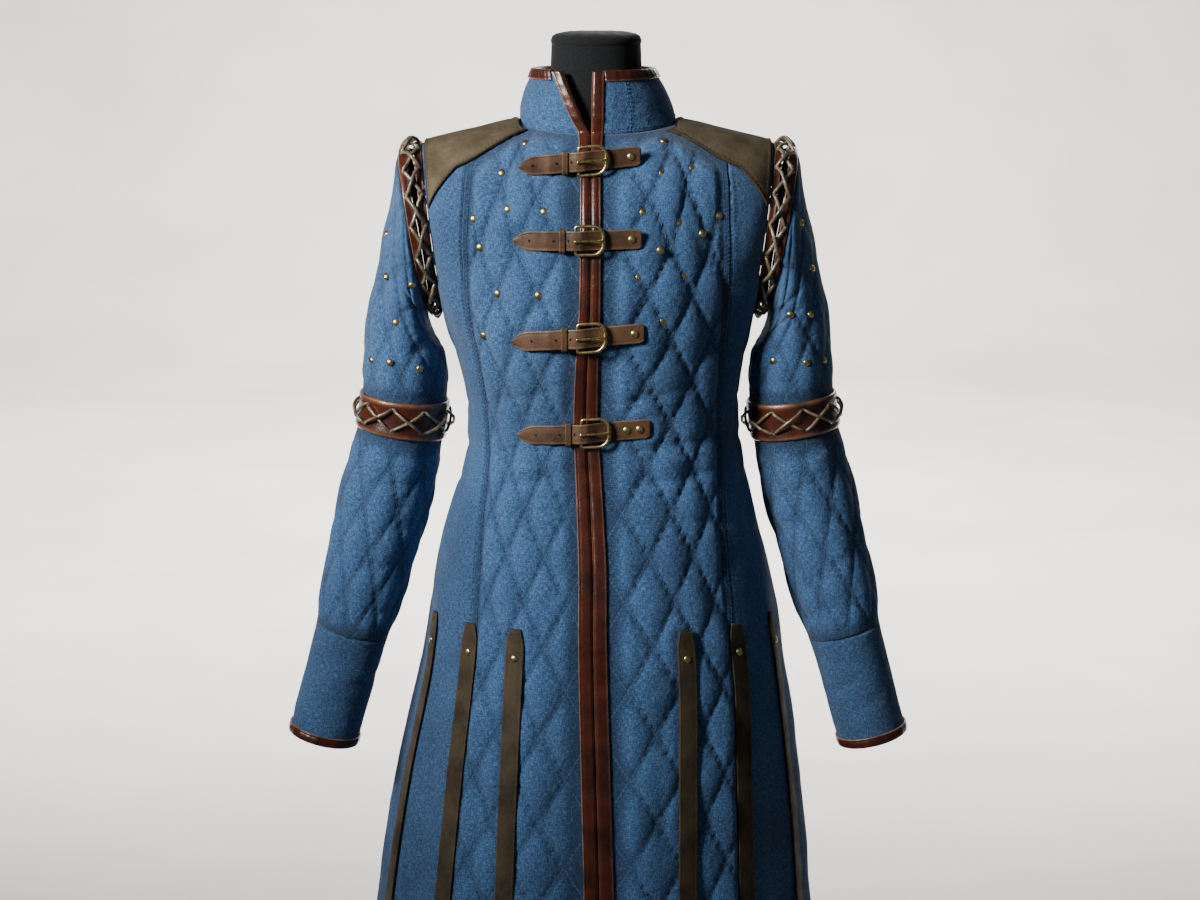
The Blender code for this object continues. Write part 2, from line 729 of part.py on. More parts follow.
def buildArmLeather():
    low, high = -FOLDED_LEATHER, FOLDED_LEATHER
    for side in (1, -1):
        end = sideName(side)
        first = gapStation(STRIP_RING, side, STRIP_GAP)
        armBand(f"armhole_strip_{end}", side, (first, GAP_RING), low, high, "red_brown_leather")
        armBand(f"sleeve_strip_{end}", side, (SLEEVE_STRIP_RING, SLEEVE_RING), low, high, "red_brown_leather")
        reach = (ELBOW_RING - ELBOW_REACH, ELBOW_RING, ELBOW_RING + ELBOW_REACH)
        armBand(f"elbow_band_{end}", side, reach, BAND_GAP, BAND_GAP + LEATHER, "red_brown_leather",
                SLEEVE_COLUMNS)
        buildCuffBinding(end, side)
        buildLace(f"armhole_lace_{end}", side, ARMHOLE_LACE, high)
        buildLace(f"elbow_lace_{end}", side, ELBOW_LACE, BAND_GAP + LEATHER)


def foldProfile(width, rise, wall):
    """A binding's cross-section folded over an edge: (along the cloth, outward) from the edge."""
    gap, leather = SEAM_GAP, FOLDED_LEATHER
    out, under = rise + gap, -wall - gap
    return (
        (width, out + leather), (width, out), (-gap, out), (-gap, under),
        (width, under), (width, under - leather), (-gap - leather, under - leather),
        (-gap - leather, out + leather),
    )


def buildCuffBinding(end, side):
    rings = []
    for i in range(SLEEVE_COLUMNS):
        angle = 2 * math.pi * i / SLEEVE_COLUMNS
        edge = ringPoint(side, CUFF_RING, angle)
        inward = unit(ringPoint(side, CUFF_RING - 0.3, angle) - edge)
        outward = ringRadial(side, CUFF_RING, angle)
        fold = foldProfile(CUFF_BINDING_WIDTH, 0.0, CLOTH_WALL)
        rings.append([edge + inward * u + outward * v for u, v in fold])
    tube(f"cuff_binding_{end}", rings, "red_brown_leather", closed_rows=True)


def buildLace(name, side, lace, surface):
    """One thong that zigzags twice round the arm, so that its second round crosses the first."""
    steps = lace["turns"] * 2 * lace["points"]
    points = []
    for k in range(steps):
        place = k / lace["points"]
        across = abs((place % 2) - 1)
        angle = 2 * math.pi * place / lace["turns"]
        second = place >= lace["turns"]
        middle = easing(abs(across - 0.5), 0.5)
        lift = surface + lace["radius"] + LACE_LIFT
        if second:
            lift += (2 * lace["radius"] + LACE_CROSSING_GAP) * min(1.0, 1.3 * middle)
        station = lace["low"] + (lace["high"] - lace["low"]) * across
        points.append(ringPoint(side, station, angle, lift))
    addCurve(name, points, lace["radius"], "bronze_thong", closed=True)


def addCurve(name, points, radius, finish, closed):
    curve = bpy.data.curves.new(name, "CURVE")
    curve.dimensions = "3D"
    curve.bevel_depth = radius
    curve.bevel_resolution = 2
    curve.use_fill_caps = not closed
    line = curve.splines.new("POLY")
    line.points.add(len(points) - 1)
    for target, point in zip(line.points, points):
        target.co = (*point, 1.0)
    line.use_cyclic_u = closed
    curve.materials.append(material(finish))
    made = bpy.data.objects.new(name, curve)
    bpy.context.collection.objects.link(made)
    return made


def buildFrontBindings():
    """Leather folded over each front edge, from the hem to the collar's corner."""
    for side in (1, -1):
        rings = []
        frames = [(frontFrame(side, row), bindingWidth(row)) for row in range(TOP_ROW + 1)]
        frames += [(collarFrame(side, share), COLLAR_BINDING_WIDTH) for share in COLLAR_ROWS[1:]]
        for (start, inward, outward), width in frames:
            profile = foldProfile(width, EDGE_RISE, CLOTH_WALL + SEAM_GAP)
            rings.append([start + inward * u + outward * v for u, v in profile])
        tube(f"front_binding_{sideName(side)}", rings, "red_brown_leather")


def bindingWidth(row):
    """The front binding's width at a row of the torso grid."""
    return float(np.interp(row, FRONT_BINDING_ROWS, FRONT_BINDING_WIDTHS))


def buildCollarBinding():
    rings = []
    for side, column in collarKeys():
        edge, normal = collarPoint(side, column, 1.0), collarNormal(side, column, 1.0)
        down = collarPoint(side, column, COLLAR_ROWS[1]) - edge
        if column == 0:
            near, _, out = collarFrame(side, 1.0)
            far = collarPoint(side, 1, 1.0)
            share = (COLLAR_BINDING_WIDTH + COLLAR_BINDING_START) / float(np.linalg.norm(far - near))
            edge = near + (far - near) * share
            below = collarFrame(side, COLLAR_ROWS[1])[0]
            down = below + (collarPoint(side, 1, COLLAR_ROWS[1]) - below) * share - edge
            normal = out + (collarNormal(side, 1, 1.0) - out) * share
        fold = foldProfile(COLLAR_BINDING_WIDTH, COLLAR_BINDING_RISE, CLOTH_WALL + COLLAR_BINDING_ROOM)
        rings.append([edge + unit(down) * u + normal * v for u, v in fold])
    tube("collar_binding", rings, "red_brown_leather")


def patchEdgeRow(mirrored):
    """The shoulder patch's lower edge on the torso grid."""
    return float(np.interp(mirrored, PATCH_EDGE_COLUMNS, PATCH_EDGE_ROWS))


def patchColumn(column, span):
    """In front, the patch's inner end leans forward along the collar's seam."""
    outer = PATCH_COLUMNS[-1]
    return column - PATCH_LEAN * max(0.0, span) * (outer - column) / (outer - PATCH_COLUMNS[0])


def buildShoulderPatches():
    spans = [k / PATCH_STEPS for k in range(PATCH_STEPS, -PATCH_STEPS - 1, -1)]
    rows = len(spans) - 1
    for side in (1, -1):
        outer, inner = [], []
        for column in PATCH_COLUMNS:
            for span in spans:
                at = patchColumn(column, span)
                row = TOP_ROW - abs(span) * (TOP_ROW - patchEdgeRow(at))
                at = at if span >= 0 else MID_BACK - at
                point, normal = torsoPoint(side, at, row), torsoNormal(side, at, row)
                outer.append(point + normal * (PATCH_LIFT + LEATHER))
                inner.append(point + normal * PATCH_LIFT)
        triangles = gridTriangles(len(PATCH_COLUMNS) - 1, rows, lambda i, j: i * (rows + 1) + j,
                                  lambda i, j: True, lambda i, j: True)
        shell(f"shoulder_patch_{sideName(side)}", outer, inner, triangles, "olive_leather")


def clothTree(names):
    """The faces of built pieces, to lay other pieces on."""
    points, faces = [], []
    for name in names:
        mesh = bpy.data.objects[name].data
        start = len(points)
        points += [v.co.copy() for v in mesh.vertices]
        faces += [tuple(start + v for v in face.vertices) for face in mesh.polygons]
    return BVHTree.FromPolygons(points, faces)


def seen(tree, origin, direction):
    """How far a straight look goes before it meets the cloth."""
    place, _, _, distance = tree.ray_cast(Vector(origin), Vector(direction))
    return distance if place is not None else None


def frontDepth(tree, x, height):
    """How far forward the cloth comes at a place on the chest, as -y."""
    reach = 1.0
    distance = seen(tree, (x, -reach, height), (0, 1, 0))
    return reach - distance


def strapBed(tree, x, height):
    """The furthest forward that the cloth comes under a strap's width, about one place."""
    looks = [(dx, dz) for dx in BED_LOOKS_ALONG for dz in BED_LOOKS_ACROSS]
    return max(frontDepth(tree, x + dx, height + dz * STRAP_WIDTH) for dx, dz in looks)


def hullAbove(places, depths):
    """The taut line over a run of depths, as a strap pulled over the cloth takes it."""
    kept = []
    for k, (x, d) in enumerate(zip(places, depths)):
        while len(kept) > 1:
            (x0, d0), (x1, d1) = kept[-2], kept[-1]
            if (d1 - d0) * (x - x0) <= (d - d0) * (x1 - x0):
                kept.pop()
            else:
                break
        kept.append((x, d))
    return np.interp(places, [x for x, _ in kept], [d for _, d in kept])


def strapHeights(x, buckle):
    """How far a strap's back lies off its bed: over the chape and the buckle's bar, under its end."""
    chape = LEATHER + REST_GAP
    bar = chape + 2 * WIRE_RADIUS + 2 * SEAM_GAP
    lifts = (0.0, chape, chape, bar, bar, 0.0)
    return float(np.interp(x - buckle, STRAP_STOPS, lifts))


def buildFastenings(tree):
    for number, row in enumerate(FASTENINGS, start=1):
        made = dict(zip(FASTENING_NAMES, row))
        height, buckle = made["height"] * MM, made["buckle"] * MM
        tip, end, slope = made["tip"] * MM, made["end"] * MM, made["slope"]
        count = int(round((end - tip) / (STRAP_STEP / 2)))
        xs = [tip + (end - tip) * k / count for k in range(count + 1)]
        middles = [height + slope * (x - buckle) for x in xs]
        bed = hullAbove(xs, [strapBed(tree, x, z) for x, z in zip(xs, middles)])

        def bedAt(x):
            return float(np.interp(x, xs, bed)) + REST_GAP

        def middleAt(x):
            return height + slope * (x - buckle)

        buildStrap(number, xs, buckle, bedAt, middleAt)
        buildChape(number, buckle, bedAt, middleAt)
        buildBuckle(number, buckle, bedAt, middleAt)
        buildKeeper(number, buckle, bedAt, middleAt)


def ribbon(name, places, half_widths, backs, thickness, middleAt, finish):
    """A flat strap across the chest: at each x its half width and how far forward its back lies."""
    rings = []
    for x, half, back in zip(places, half_widths, backs):
        z = middleAt(x)
        rings.append([
            (x, -back, z - half), (x, -back - thickness, z - half),
            (x, -back - thickness, z + half), (x, -back, z + half),
        ])
    return tube(name, rings, finish)


def buildStrap(number, xs, buckle, bedAt, middleAt):
    tip, end = xs[0], xs[-1]
    places = sorted({*xs[::2], end, *(buckle + stop for stop in STRAP_STOPS)})
    places = [x for k, x in enumerate(places) if k == 0 or x - places[k - 1] > 1.5 * MM]
    stops = (tip, tip + STRAP_TIP[0], end - STRAP_END[0], end)
    shares = (STRAP_TIP[1], 1.0, 1.0, STRAP_END[1])
    halves = [STRAP_WIDTH / 2 * float(np.interp(x, stops, shares)) for x in places]
    backs = [bedAt(x) + strapHeights(x, buckle) for x in places]
    ribbon(f"strap_{number}", places, halves, backs, STRAP_THICKNESS, middleAt, "strap_leather")


def buildChape(number, buckle, bedAt, middleAt):
    """The short piece under the strap that holds the buckle on the other front."""
    places = [buckle + stop for stop in CHAPE_STOPS]
    halves = [STRAP_WIDTH / 2 * share for share in CHAPE_SHARES]
    backs = [bedAt(x) for x in places]
    ribbon(f"chape_{number}", places, halves, backs, LEATHER, middleAt, "strap_leather")


def buildBuckle(number, buckle, bedAt, middleAt):
    """A round-ended frame whose bar lies under the strap and whose end lies over it, with its tongue."""
    half_height, radius = BUCKLE_HEIGHT / 2 - WIRE_RADIUS, WIRE_RADIUS
    left, right = buckle - BUCKLE_WIDTH / 2 + WIRE_RADIUS, buckle + BUCKLE_WIDTH / 2 - WIRE_RADIUS
    under = max(bedAt(x) for x in (left, buckle, right))
    bar_depth = bedAt(left) + LEATHER + SEAM_GAP + radius
    end_depth = under + STRAP_THICKNESS + 2 * SEAM_GAP + radius + BUCKLE_RISE
    outline = [(left, -half_height), (left, 0.0), (left, half_height)]
    corner, spread = right - BUCKLE_BEND, half_height - BUCKLE_BEND
    for k in range(BUCKLE_BEND_STEPS + 1):
        angle = math.pi / 2 - math.pi * k / BUCKLE_BEND_STEPS
        z = math.copysign(spread, math.sin(angle)) if 2 * k != BUCKLE_BEND_STEPS else 0.0
        outline.append((corner + BUCKLE_BEND * math.cos(angle), z + BUCKLE_BEND * math.sin(angle)))
    points = []
    for x, z in outline:
        share = (x - left) / (right - left)
        points.append(Vector((x, -(bar_depth + (end_depth - bar_depth) * share), middleAt(x) + z)))
    frame = wireLoop(f"buckle_{number}", points, radius)
    top = bedAt(left) + strapHeights(left, buckle) + STRAP_THICKNESS + SEAM_GAP + TONGUE_RISE
    tip_depth = end_depth + TONGUE_HALF_THICKNESS
    start = Vector((left + TONGUE_START, -(4 * top - tip_depth) / 3, middleAt(left)))
    end = Vector((right + TONGUE_END, -tip_depth, middleAt(right)))
    bar = barPoints(start, end, TONGUE_HALF_WIDTH, TONGUE_HALF_THICKNESS)
    tongue = addMesh("tongue", *bar, "antique_brass")
    joined = frame.modifiers.new("tongue", "BOOLEAN")
    joined.operation = "UNION"
    joined.solver = "EXACT"
    joined.object = tongue
    tongue.hide_render = True
    tongue.display_type = "WIRE"


def wireLoop(name, points, radius):
    """A closed wire of round section through points that lie nearly in one upright plane."""
    rings = []
    count = len(points)
    forward = Vector((0.0, -1.0, 0.0))
    for k, point in enumerate(points):
        along = (points[(k + 1) % count] - points[k - 1]).normalized()
        out = along.cross(forward).normalized()
        rise = out.cross(along).normalized()
        rings.append([
            point + radius * (math.cos(a) * out + math.sin(a) * rise)
            for a in (2 * math.pi * i / WIRE_SIDES for i in range(WIRE_SIDES))
        ])
    return tube(name, rings, "antique_brass", closed_rows=True)


def barPoints(start, end, half_width, half_thickness):
    """A straight flat bar between two points, wide along z and thin along y."""
    corners = [(-1, -1), (1, -1), (1, 1), (-1, 1)]
    points = [
        place + Vector((0.0, half_thickness * a, half_width * b))
        for place in (start, end) for a, b in corners
    ]
    faces = [(3, 2, 1, 0), (4, 5, 6, 7), (0, 1, 5, 4), (1, 2, 6, 5), (2, 3, 7, 6), (3, 0, 4, 7)]
    return points, faces


def buildKeeper(number, buckle, bedAt, middleAt):
    """A leather loop over the strap, its feet down on the coat on both sides."""
    x = buckle + KEEPER_PLACE
    bed = max(bedAt(x + e) + strapHeights(x + e, buckle) for e in (-KEEPER_WIDTH, 0, KEEPER_WIDTH))
    low, top = bedAt(x) + KEEPER_FOOT_GAP, bed + STRAP_THICKNESS + SEAM_GAP
    inside = STRAP_WIDTH / 2 + SEAM_GAP
    outside = inside + KEEPER_LEATHER
    outline = [
        (-outside, low), (-inside, low), (-inside, top), (inside, top),
        (inside, low), (outside, low), (outside, top + KEEPER_LEATHER), (-outside, top + KEEPER_LEATHER),
    ]
    rings = []
    for end in (-KEEPER_WIDTH / 2, KEEPER_WIDTH / 2):
        rings.append([(x + end, -out, middleAt(x) + z) for z, out in outline])
    tube(f"keeper_{number}", rings, "strap_leather")


def buildSkirtStrips(tree):
    for place, (top, hem) in SKIRT_STRIPS.items():
        for side in (1, -1):
            rings = []
            for k in range(STRIP_STEPS + 1):
                row = STRIP_TOP_ROW * (1 - k / STRIP_STEPS) + STRIP_HEM_ROW
                column = top + (hem - top) * k / STRIP_STEPS
                rings.append(stripRing(tree, side, column, row, STRIP_CLIPPED if k == 0 else 1.0))
            tube(f"skirt_strip_{place}_{sideName(side)}", rings, "olive_leather")


def stripRing(tree, side, column, row, share):
    """Four corners of a skirt strip's cross-section, laid on the outside of the quilting."""
    point, normal = torsoPoint(side, column, row), torsoNormal(side, column, row)
    across = unit(torsoPoint(side, column + 0.1, row) - torsoPoint(side, column - 0.1, row))
    half = STRIP_WIDTH / 2 * share
    reach = STRIP_LOOK_REACH
    rise = 0.0
    for step in STRIP_LOOKS_ACROSS:
        for climb in STRIP_LOOKS_UP:
            origin = point + across * half * step + normal * reach
            origin[2] = max(origin[2] + climb, HEM_HEIGHT + 1 * MM)
            distance = seen(tree, origin, -normal)
            if distance is not None and distance < 2 * reach:
                rise = max(rise, reach - distance)
    rise += REST_GAP
    return [
        point + across * half * a + normal * (rise + b * LEATHER)
        for a, b in ((-1, 0), (1, 0), (1, 1), (-1, 1))
    ]


def formInset(column, row):
    """How deep the form lies under the stitched level: just inside the cloth on the chest and shoulders."""
    bound = LEATHER + REST_GAP if column <= 1 else 0.0
    return CLOTH_WALL + REST_GAP + bound + FORM_TUCK * easing(row - FORM_BOTTOM_ROW, FORM_TUCK_ROWS)


def formKey(side, column, row):
    """One name for a place that two columns share: front and back middles, and the shoulder seams."""
    if row == TOP_ROW and ARM_BACK <= column <= MID_BACK - NECK_SIDE:
        column = MID_BACK - column
    return (0 if column in (0, MID_BACK) else side, column, row)


def buildForm():
    """The limbless torso under the coat, up to its neck."""
    points, order, faces = [], {}, []

    def vertex(side, column, row):
        key = formKey(side, column, row)
        if key not in order:
            order[key] = len(points)
            point, normal = torsoPoint(side, column, row), torsoNormal(side, column, row)
            points.append(point - normal * formInset(column, row))
            if row == FORM_BOTTOM_ROW:
                points[-1][2] = point[2]
        return order[key]

    for side in (1, -1):
        for column in range(MID_BACK):
            for row in range(FORM_BOTTOM_ROW, TOP_ROW):
                if ARM_FRONT <= column < ARM_BACK and row >= UNDERARM_ROW:
                    continue
                a, b = vertex(side, column, row), vertex(side, column + 1, row)
                c, d = vertex(side, column + 1, row + 1), vertex(side, column, row + 1)
                if (column + row) % 2 == 0:
                    faces += [(a, b, c), (a, c, d)]
                else:
                    faces += [(a, b, d), (b, c, d)]
        faces += armPlate(side, vertex, points)
    ring = [(1, c) for c in collarStops()] + [(-1, c) for c in collarStops()[-2:0:-1]]
    loop = [vertex(side, column, TOP_ROW) for side, column in ring]
    faces += neckFaces(ring, loop, points)
    bottom = [(1, c) for c in range(MID_BACK + 1)] + [(-1, c) for c in range(MID_BACK - 1, 0, -1)]
    faces.append(tuple(vertex(side, column, FORM_BOTTOM_ROW) for side, column in bottom)[::-1])
    faces = [face for face in faces if len(set(face)) > 2]
    addMesh("form_torso", points, faces, "black_jersey")


def armPlate(side, vertex, points):
    """The flat plate that closes the form where an arm would be."""
    edge = [(ARM_FRONT, row) for row in range(TOP_ROW, UNDERARM_ROW, -1)]
    edge += [(column, UNDERARM_ROW) for column in range(ARM_FRONT, ARM_BACK + 1)]
    edge += [(ARM_BACK, row) for row in range(UNDERARM_ROW + 1, TOP_ROW)]
    loop = [vertex(side, column, row) for column, row in edge]
    points.append(sum(points[v] for v in loop) / len(loop))
    centre = len(points) - 1
    return [(loop[k], loop[(k + 1) % len(loop)], centre)[::side] for k in range(len(loop))]


def neckFaces(ring, loop, points):
    """The neck's walls from the neckline's loop to its flat top."""
    faces, below = [], loop
    for height, half_width, half_depth in NECK_FORM_RINGS:
        level = []
        for side, column in ring:
            mirrored = min(column, MID_BACK - column) / NECK_SIDE * math.pi / 2
            depth = half_depth if column > MID_BACK / 2 else -half_depth
            x = NECK_FORM_CENTRE[0] + side * half_width * math.sin(mirrored)
            y = NECK_FORM_CENTRE[1] + depth * math.cos(mirrored)
            points.append(np.array((x, y, height)))
            level.append(len(points) - 1)
        count = len(level)
        faces += [(below[k], below[(k + 1) % count], level[(k + 1) % count], level[k]) for k in range(count)]
        below = level
    faces.append(tuple(below))
    return faces


def turned(name, profile, finish, centre=(0.0, 0.0), segments=ROUND_SEGMENTS):
    """A solid turned about an upright axis, from its (radius, height) profile, bottom to top."""
    rings = []
    for radius, height in profile:
        rings.append([
            (centre[0] + radius * math.cos(a), centre[1] + radius * math.sin(a), height)
            for a in (2 * math.pi * k / segments for k in range(segments))
        ])
    return tube(name, rings, finish)


def buildStand():
    turned("form_cap", CAP_PROFILE, "black_jersey", centre=NECK_FORM_CENTRE)
    bottom = float(torsoPoint(1, 0, FORM_BOTTOM_ROW)[2])
    pole = [(POLE_RADIUS, BASE_THICKNESS + SEAM_GAP), (POLE_RADIUS, bottom - SEAM_GAP)]
    turned("form_pole", pole, "dark_steel", segments=POLE_SEGMENTS)
    edge = BASE_THICKNESS - BASE_BEVEL
    base = [(BASE_RADIUS, 0.0), (BASE_RADIUS, edge), (BASE_RADIUS - BASE_BEVEL, BASE_THICKNESS)]
    turned("form_base", base, "dark_steel")


def main():
    clearScene()
    buildBody()
    buildCollar()
    buildSleeves()
    buildArmLeather()
    buildFrontBindings()
    buildCollarBinding()
    buildShoulderPatches()
    panels = ["front_left", "front_right", "side_left", "side_right", "back",
              "front_binding_left", "front_binding_right"]
    tree = clothTree(panels)
    buildFastenings(tree)
    buildSkirtStrips(tree)
    buildForm()
    buildStand()


main()
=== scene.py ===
import math

import bmesh
import bpy
import numpy as np
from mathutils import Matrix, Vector
from mathutils.bvhtree import BVHTree


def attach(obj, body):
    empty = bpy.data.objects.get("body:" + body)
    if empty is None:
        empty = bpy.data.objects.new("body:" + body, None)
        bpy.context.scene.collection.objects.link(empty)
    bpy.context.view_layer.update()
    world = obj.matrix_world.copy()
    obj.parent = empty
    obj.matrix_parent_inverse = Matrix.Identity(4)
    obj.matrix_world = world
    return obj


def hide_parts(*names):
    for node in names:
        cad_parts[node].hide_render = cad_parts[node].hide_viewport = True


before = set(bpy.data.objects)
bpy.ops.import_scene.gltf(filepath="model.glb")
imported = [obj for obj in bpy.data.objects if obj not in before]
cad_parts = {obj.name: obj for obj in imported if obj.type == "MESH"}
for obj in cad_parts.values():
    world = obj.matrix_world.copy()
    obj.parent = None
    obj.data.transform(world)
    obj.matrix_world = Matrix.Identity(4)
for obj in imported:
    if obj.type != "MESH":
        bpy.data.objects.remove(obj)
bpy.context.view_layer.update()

mm = 0.001
sides = ((1, "Right"), (-1, "Left"))    # as the viewer sees them

# Colours as sRGB hex, by what they are on the coat; the leather edge colours and the hole colour are painted
# highlight and shade, as noted beside them.
colours = {
    "canvasDark": "#2b4a76", "canvasMid": "#3d6391", "canvasLight": "#5d83b0", "canvasThread": "#4b6f9d",
    # The red leather's pale edge colour is burnished wear with a painted highlight on the rolled ridges.
    "redLeatherDark": "#2b0e07", "redLeather": "#572617", "redLeatherWornEdgeHighlight": "#bd8f73",
    # The olive leather's near-black edge colour is a painted shadow along the patches' rims.
    "oliveDark": "#443b2b", "olive": "#6a604c", "olivePaintedRimShadow": "#17161a",
    "strapDark": "#38261a", "strap": "#6b4e38", "strapEdge": "#9a8468",
    # The skirt strips' lighter edge colour is a painted highlight on their rolled edges.
    "skirtDark": "#2a2318", "skirt": "#4d4230", "skirtEdgeHighlight": "#6b5d45",
    "brassDark": "#8d7539", "brass": "#e6d497",
    "thongDark": "#3a322a", "thong": "#93886f",
    "jerseyDark": "#121517", "jersey": "#23282b", "steelDark": "#232427", "steel": "#34363a",
    # The hole colour is painted shade, put on the straps where their holes are.
    "hole": "#120d0a", "floorDark": "#cbc7c0", "floor": "#dad7d1",
}


def linear(name):
    code = colours[name].lstrip("#")
    parts = [int(code[k:k + 2], 16) / 255 for k in (0, 2, 4)]
    return tuple(v / 12.92 if v <= 0.04045 else ((v + 0.055) / 1.055) ** 2.4 for v in parts) + (1.0,)


# Adds one node with its settings, its fixed values and what feeds it.
def addNode(tree, kind, values=None, links=None, **settings):
    node = tree.nodes.new(kind)
    for name, value in settings.items():
        setattr(node, name, value)
    for socket, value in (values or {}).items():
        node.inputs[socket].default_value = value
    for socket, source in (links or {}).items():
        tree.links.new(source, node.inputs[socket])
    return node


# One sum with a socket and a number or a second socket.
def reckon(tree, operation, first, second=None):
    node = addNode(tree, "ShaderNodeMath", links={0: first}, operation=operation)
    if isinstance(second, (int, float)):
        node.inputs[1].default_value = second
    elif second is not None:
        tree.links.new(second, node.inputs[1])
    return node.outputs["Value"]


def stretched(tree, value, low=0.0, high=1.0, start=0.0, end=1.0):
    span = {"From Min": low, "From Max": high, "To Min": start, "To Max": end}
    return addNode(tree, "ShaderNodeMapRange", span, {"Value": value}).outputs["Result"]


def noise(tree, where, scale, detail, rough=0.5, distortion=0.0):
    look = {"Scale": scale, "Detail": detail, "Roughness": rough, "Distortion": distortion}
    return addNode(tree, "ShaderNodeTexNoise", look, {"Vector": where}).outputs["Fac"]


def toned(tree, value, *stops):
    node = addNode(tree, "ShaderNodeValToRGB", links={"Fac": value})
    ramp = node.color_ramp
    while len(ramp.elements) < len(stops):
        ramp.elements.new(0.5)
    for element, (place, name) in zip(ramp.elements, stops):
        element.position, element.color = place, linear(name)
    return node.outputs["Color"]


def relief(tree, height, strength, depth, before=None):
    links = {"Height": height} if before is None else {"Height": height, "Normal": before}
    bump = addNode(tree, "ShaderNodeBump", {"Strength": strength, "Distance": depth * mm}, links)
    return bump.outputs["Normal"]


def overlaid(tree, share, below, name):
    mixed = addNode(tree, "ShaderNodeMix", {7: linear(name)}, {0: share, 6: below}, data_type="RGBA")
    return mixed.outputs[2]


def attribute(tree, name):
    return addNode(tree, "ShaderNodeAttribute", attribute_name=name)


def startMaterial(name, values):
    made = bpy.data.materials.new(name)
    made.use_nodes = True
    shader = made.node_tree.nodes["Principled BSDF"]
    for socket, value in values.items():
        shader.inputs[socket].default_value = value
    return made, made.node_tree, addNode(made.node_tree, "ShaderNodeTexCoord").outputs


def finishMaterial(made, **sources):
    shader = made.node_tree.nodes["Principled BSDF"]
    for socket, source in sources.items():
        made.node_tree.links.new(source, shader.inputs[socket.replace("_", " ")])
    return made


# Heathered cotton canvas, woven from light and dark threads and washed soft: matt, with a faint nap.
# The threads are really 0.5 mm apart and are drawn at about 1.3 mm, so that they show.
def makeBlueCanvas():
    canvas = {"warp": (820, 210, 1), "weft": (210, 820, 1), "patch": 11, "crumple": 75,
              "lineGap": 45.7, "threadHalf": 0.55, "stitchesPerCell": 12}
    made, tree, spot = startMaterial("blueCanvas", {
        "Roughness": 0.9, "Sheen Weight": 0.2, "Sheen Roughness": 0.55, "Specular IOR Level": 0.22})
    slubs = []
    for scale in (canvas["warp"], canvas["weft"]):
        spread = addNode(tree, "ShaderNodeMapping", {"Scale": scale}, {"Vector": spot["UV"]})
        slubs.append(noise(tree, spread.outputs["Vector"], 1.0, 2.0, 0.6))
    weave = reckon(tree, "ADD", *slubs)
    heather = stretched(tree, weave, 0.72, 1.28)
    tones = toned(tree, heather, (0.1, "canvasDark"), (0.5, "canvasMid"), (0.92, "canvasLight"))
    patches = noise(tree, spot["Object"], canvas["patch"], 4.0, 0.6)
    faded = stretched(tree, patches, 0.3, 0.7, 0.74, 1.16)
    # Painted shade: the cloth darkens towards the quilting's stitch valleys and lightens a little on the
    # puffs' crests, by the "puff" attribute.
    valleyShade = stretched(tree, attribute(tree, "puff").outputs["Fac"], 0.0, 0.6, 0.5, 1.08)
    shade = reckon(tree, "MULTIPLY", faded, valleyShade)
    cloth = addNode(tree, "ShaderNodeVectorMath", links={0: tones, "Scale": shade}, operation="SCALE")
    # The quilting thread: a broken line along both families of stitch lines.
    lattice = attribute(tree, "lattice").outputs["Vector"]
    lines = addNode(tree, "ShaderNodeSeparateXYZ", links={"Vector": lattice})
    reach = canvas["threadHalf"] / canvas["lineGap"] * 2
    threads = []
    for across, along in (("X", "Y"), ("Y", "X")):
        near = reckon(tree, "PINGPONG", lines.outputs[across], 1.0)
        away = reckon(tree, "ABSOLUTE", reckon(tree, "SUBTRACT", near, 0.5))
        beat = reckon(tree, "MULTIPLY", lines.outputs[along], canvas["stitchesPerCell"])
        shown = reckon(tree, "LESS_THAN", reckon(tree, "FRACT", beat), 0.7)
        threads.append(reckon(tree, "MULTIPLY", stretched(tree, away, 0.5 - reach, 0.5), shown))
    sewn = reckon(tree, "MULTIPLY", reckon(tree, "MAXIMUM", *threads), lines.outputs["Z"])
    crumple = noise(tree, spot["Object"], canvas["crumple"], 5.0, 0.62, 0.8)
    soft = relief(tree, crumple, 0.75, 2.6)
    fine = relief(tree, weave, 0.4, 0.5, soft)
    return finishMaterial(made, Base_Color=overlaid(tree, sewn, cloth.outputs["Vector"], "canvasThread"),
                          Normal=relief(tree, sewn, 0.6, 0.6, fine))


# Cowhide: grain, slow changes of dye, and edges toned by the "edge" attribute: on the red leather burnished
# wear with a painted highlight, on the skirt strips a painted highlight, on the olive patches a painted
# shadow, on the straps a lighter edge.
# Grain is really about 0.5 mm and is drawn at the look's grain size in millimetres, so that it shows.
def makeLeather(name, look):
    made, tree, spot = startMaterial(name, {
        "Specular IOR Level": look["specular"], "Coat Weight": look["wax"], "Coat Roughness": 0.25})
    dye = noise(tree, spot["Object"], look["dye"], 6.0, 0.65)
    tones = toned(tree, dye, (0.32, look["dark"]), (0.62, look["base"]))
    thin = reckon(tree, "POWER", attribute(tree, "edge").outputs["Fac"], look["thin"])
    edgeWearAndPaintedLightStrength = reckon(tree, "MULTIPLY", thin, look["edgeWearAndPaintedLightStrength"])
    edgeWearAndPaintedLight = reckon(tree, "MULTIPLY", edgeWearAndPaintedLightStrength, stretched(tree, dye, 0.35, 0.6, 0.35, 1.0))
    grain = addNode(tree, "ShaderNodeTexVoronoi", {"Scale": 1000 / look["grain"]}, {"Vector": spot["Object"]})
    folds = relief(tree, noise(tree, spot["Object"], 140.0, 4.0, distortion=1.5), 0.5, look["crease"])
    return finishMaterial(made, Base_Color=overlaid(tree, edgeWearAndPaintedLight, tones, look["edge"]),
                          Roughness=stretched(tree, dye, 0.3, 0.7, *look["rough"]),
                          Normal=relief(tree, grain.outputs["Distance"], 0.5, 0.25, folds))


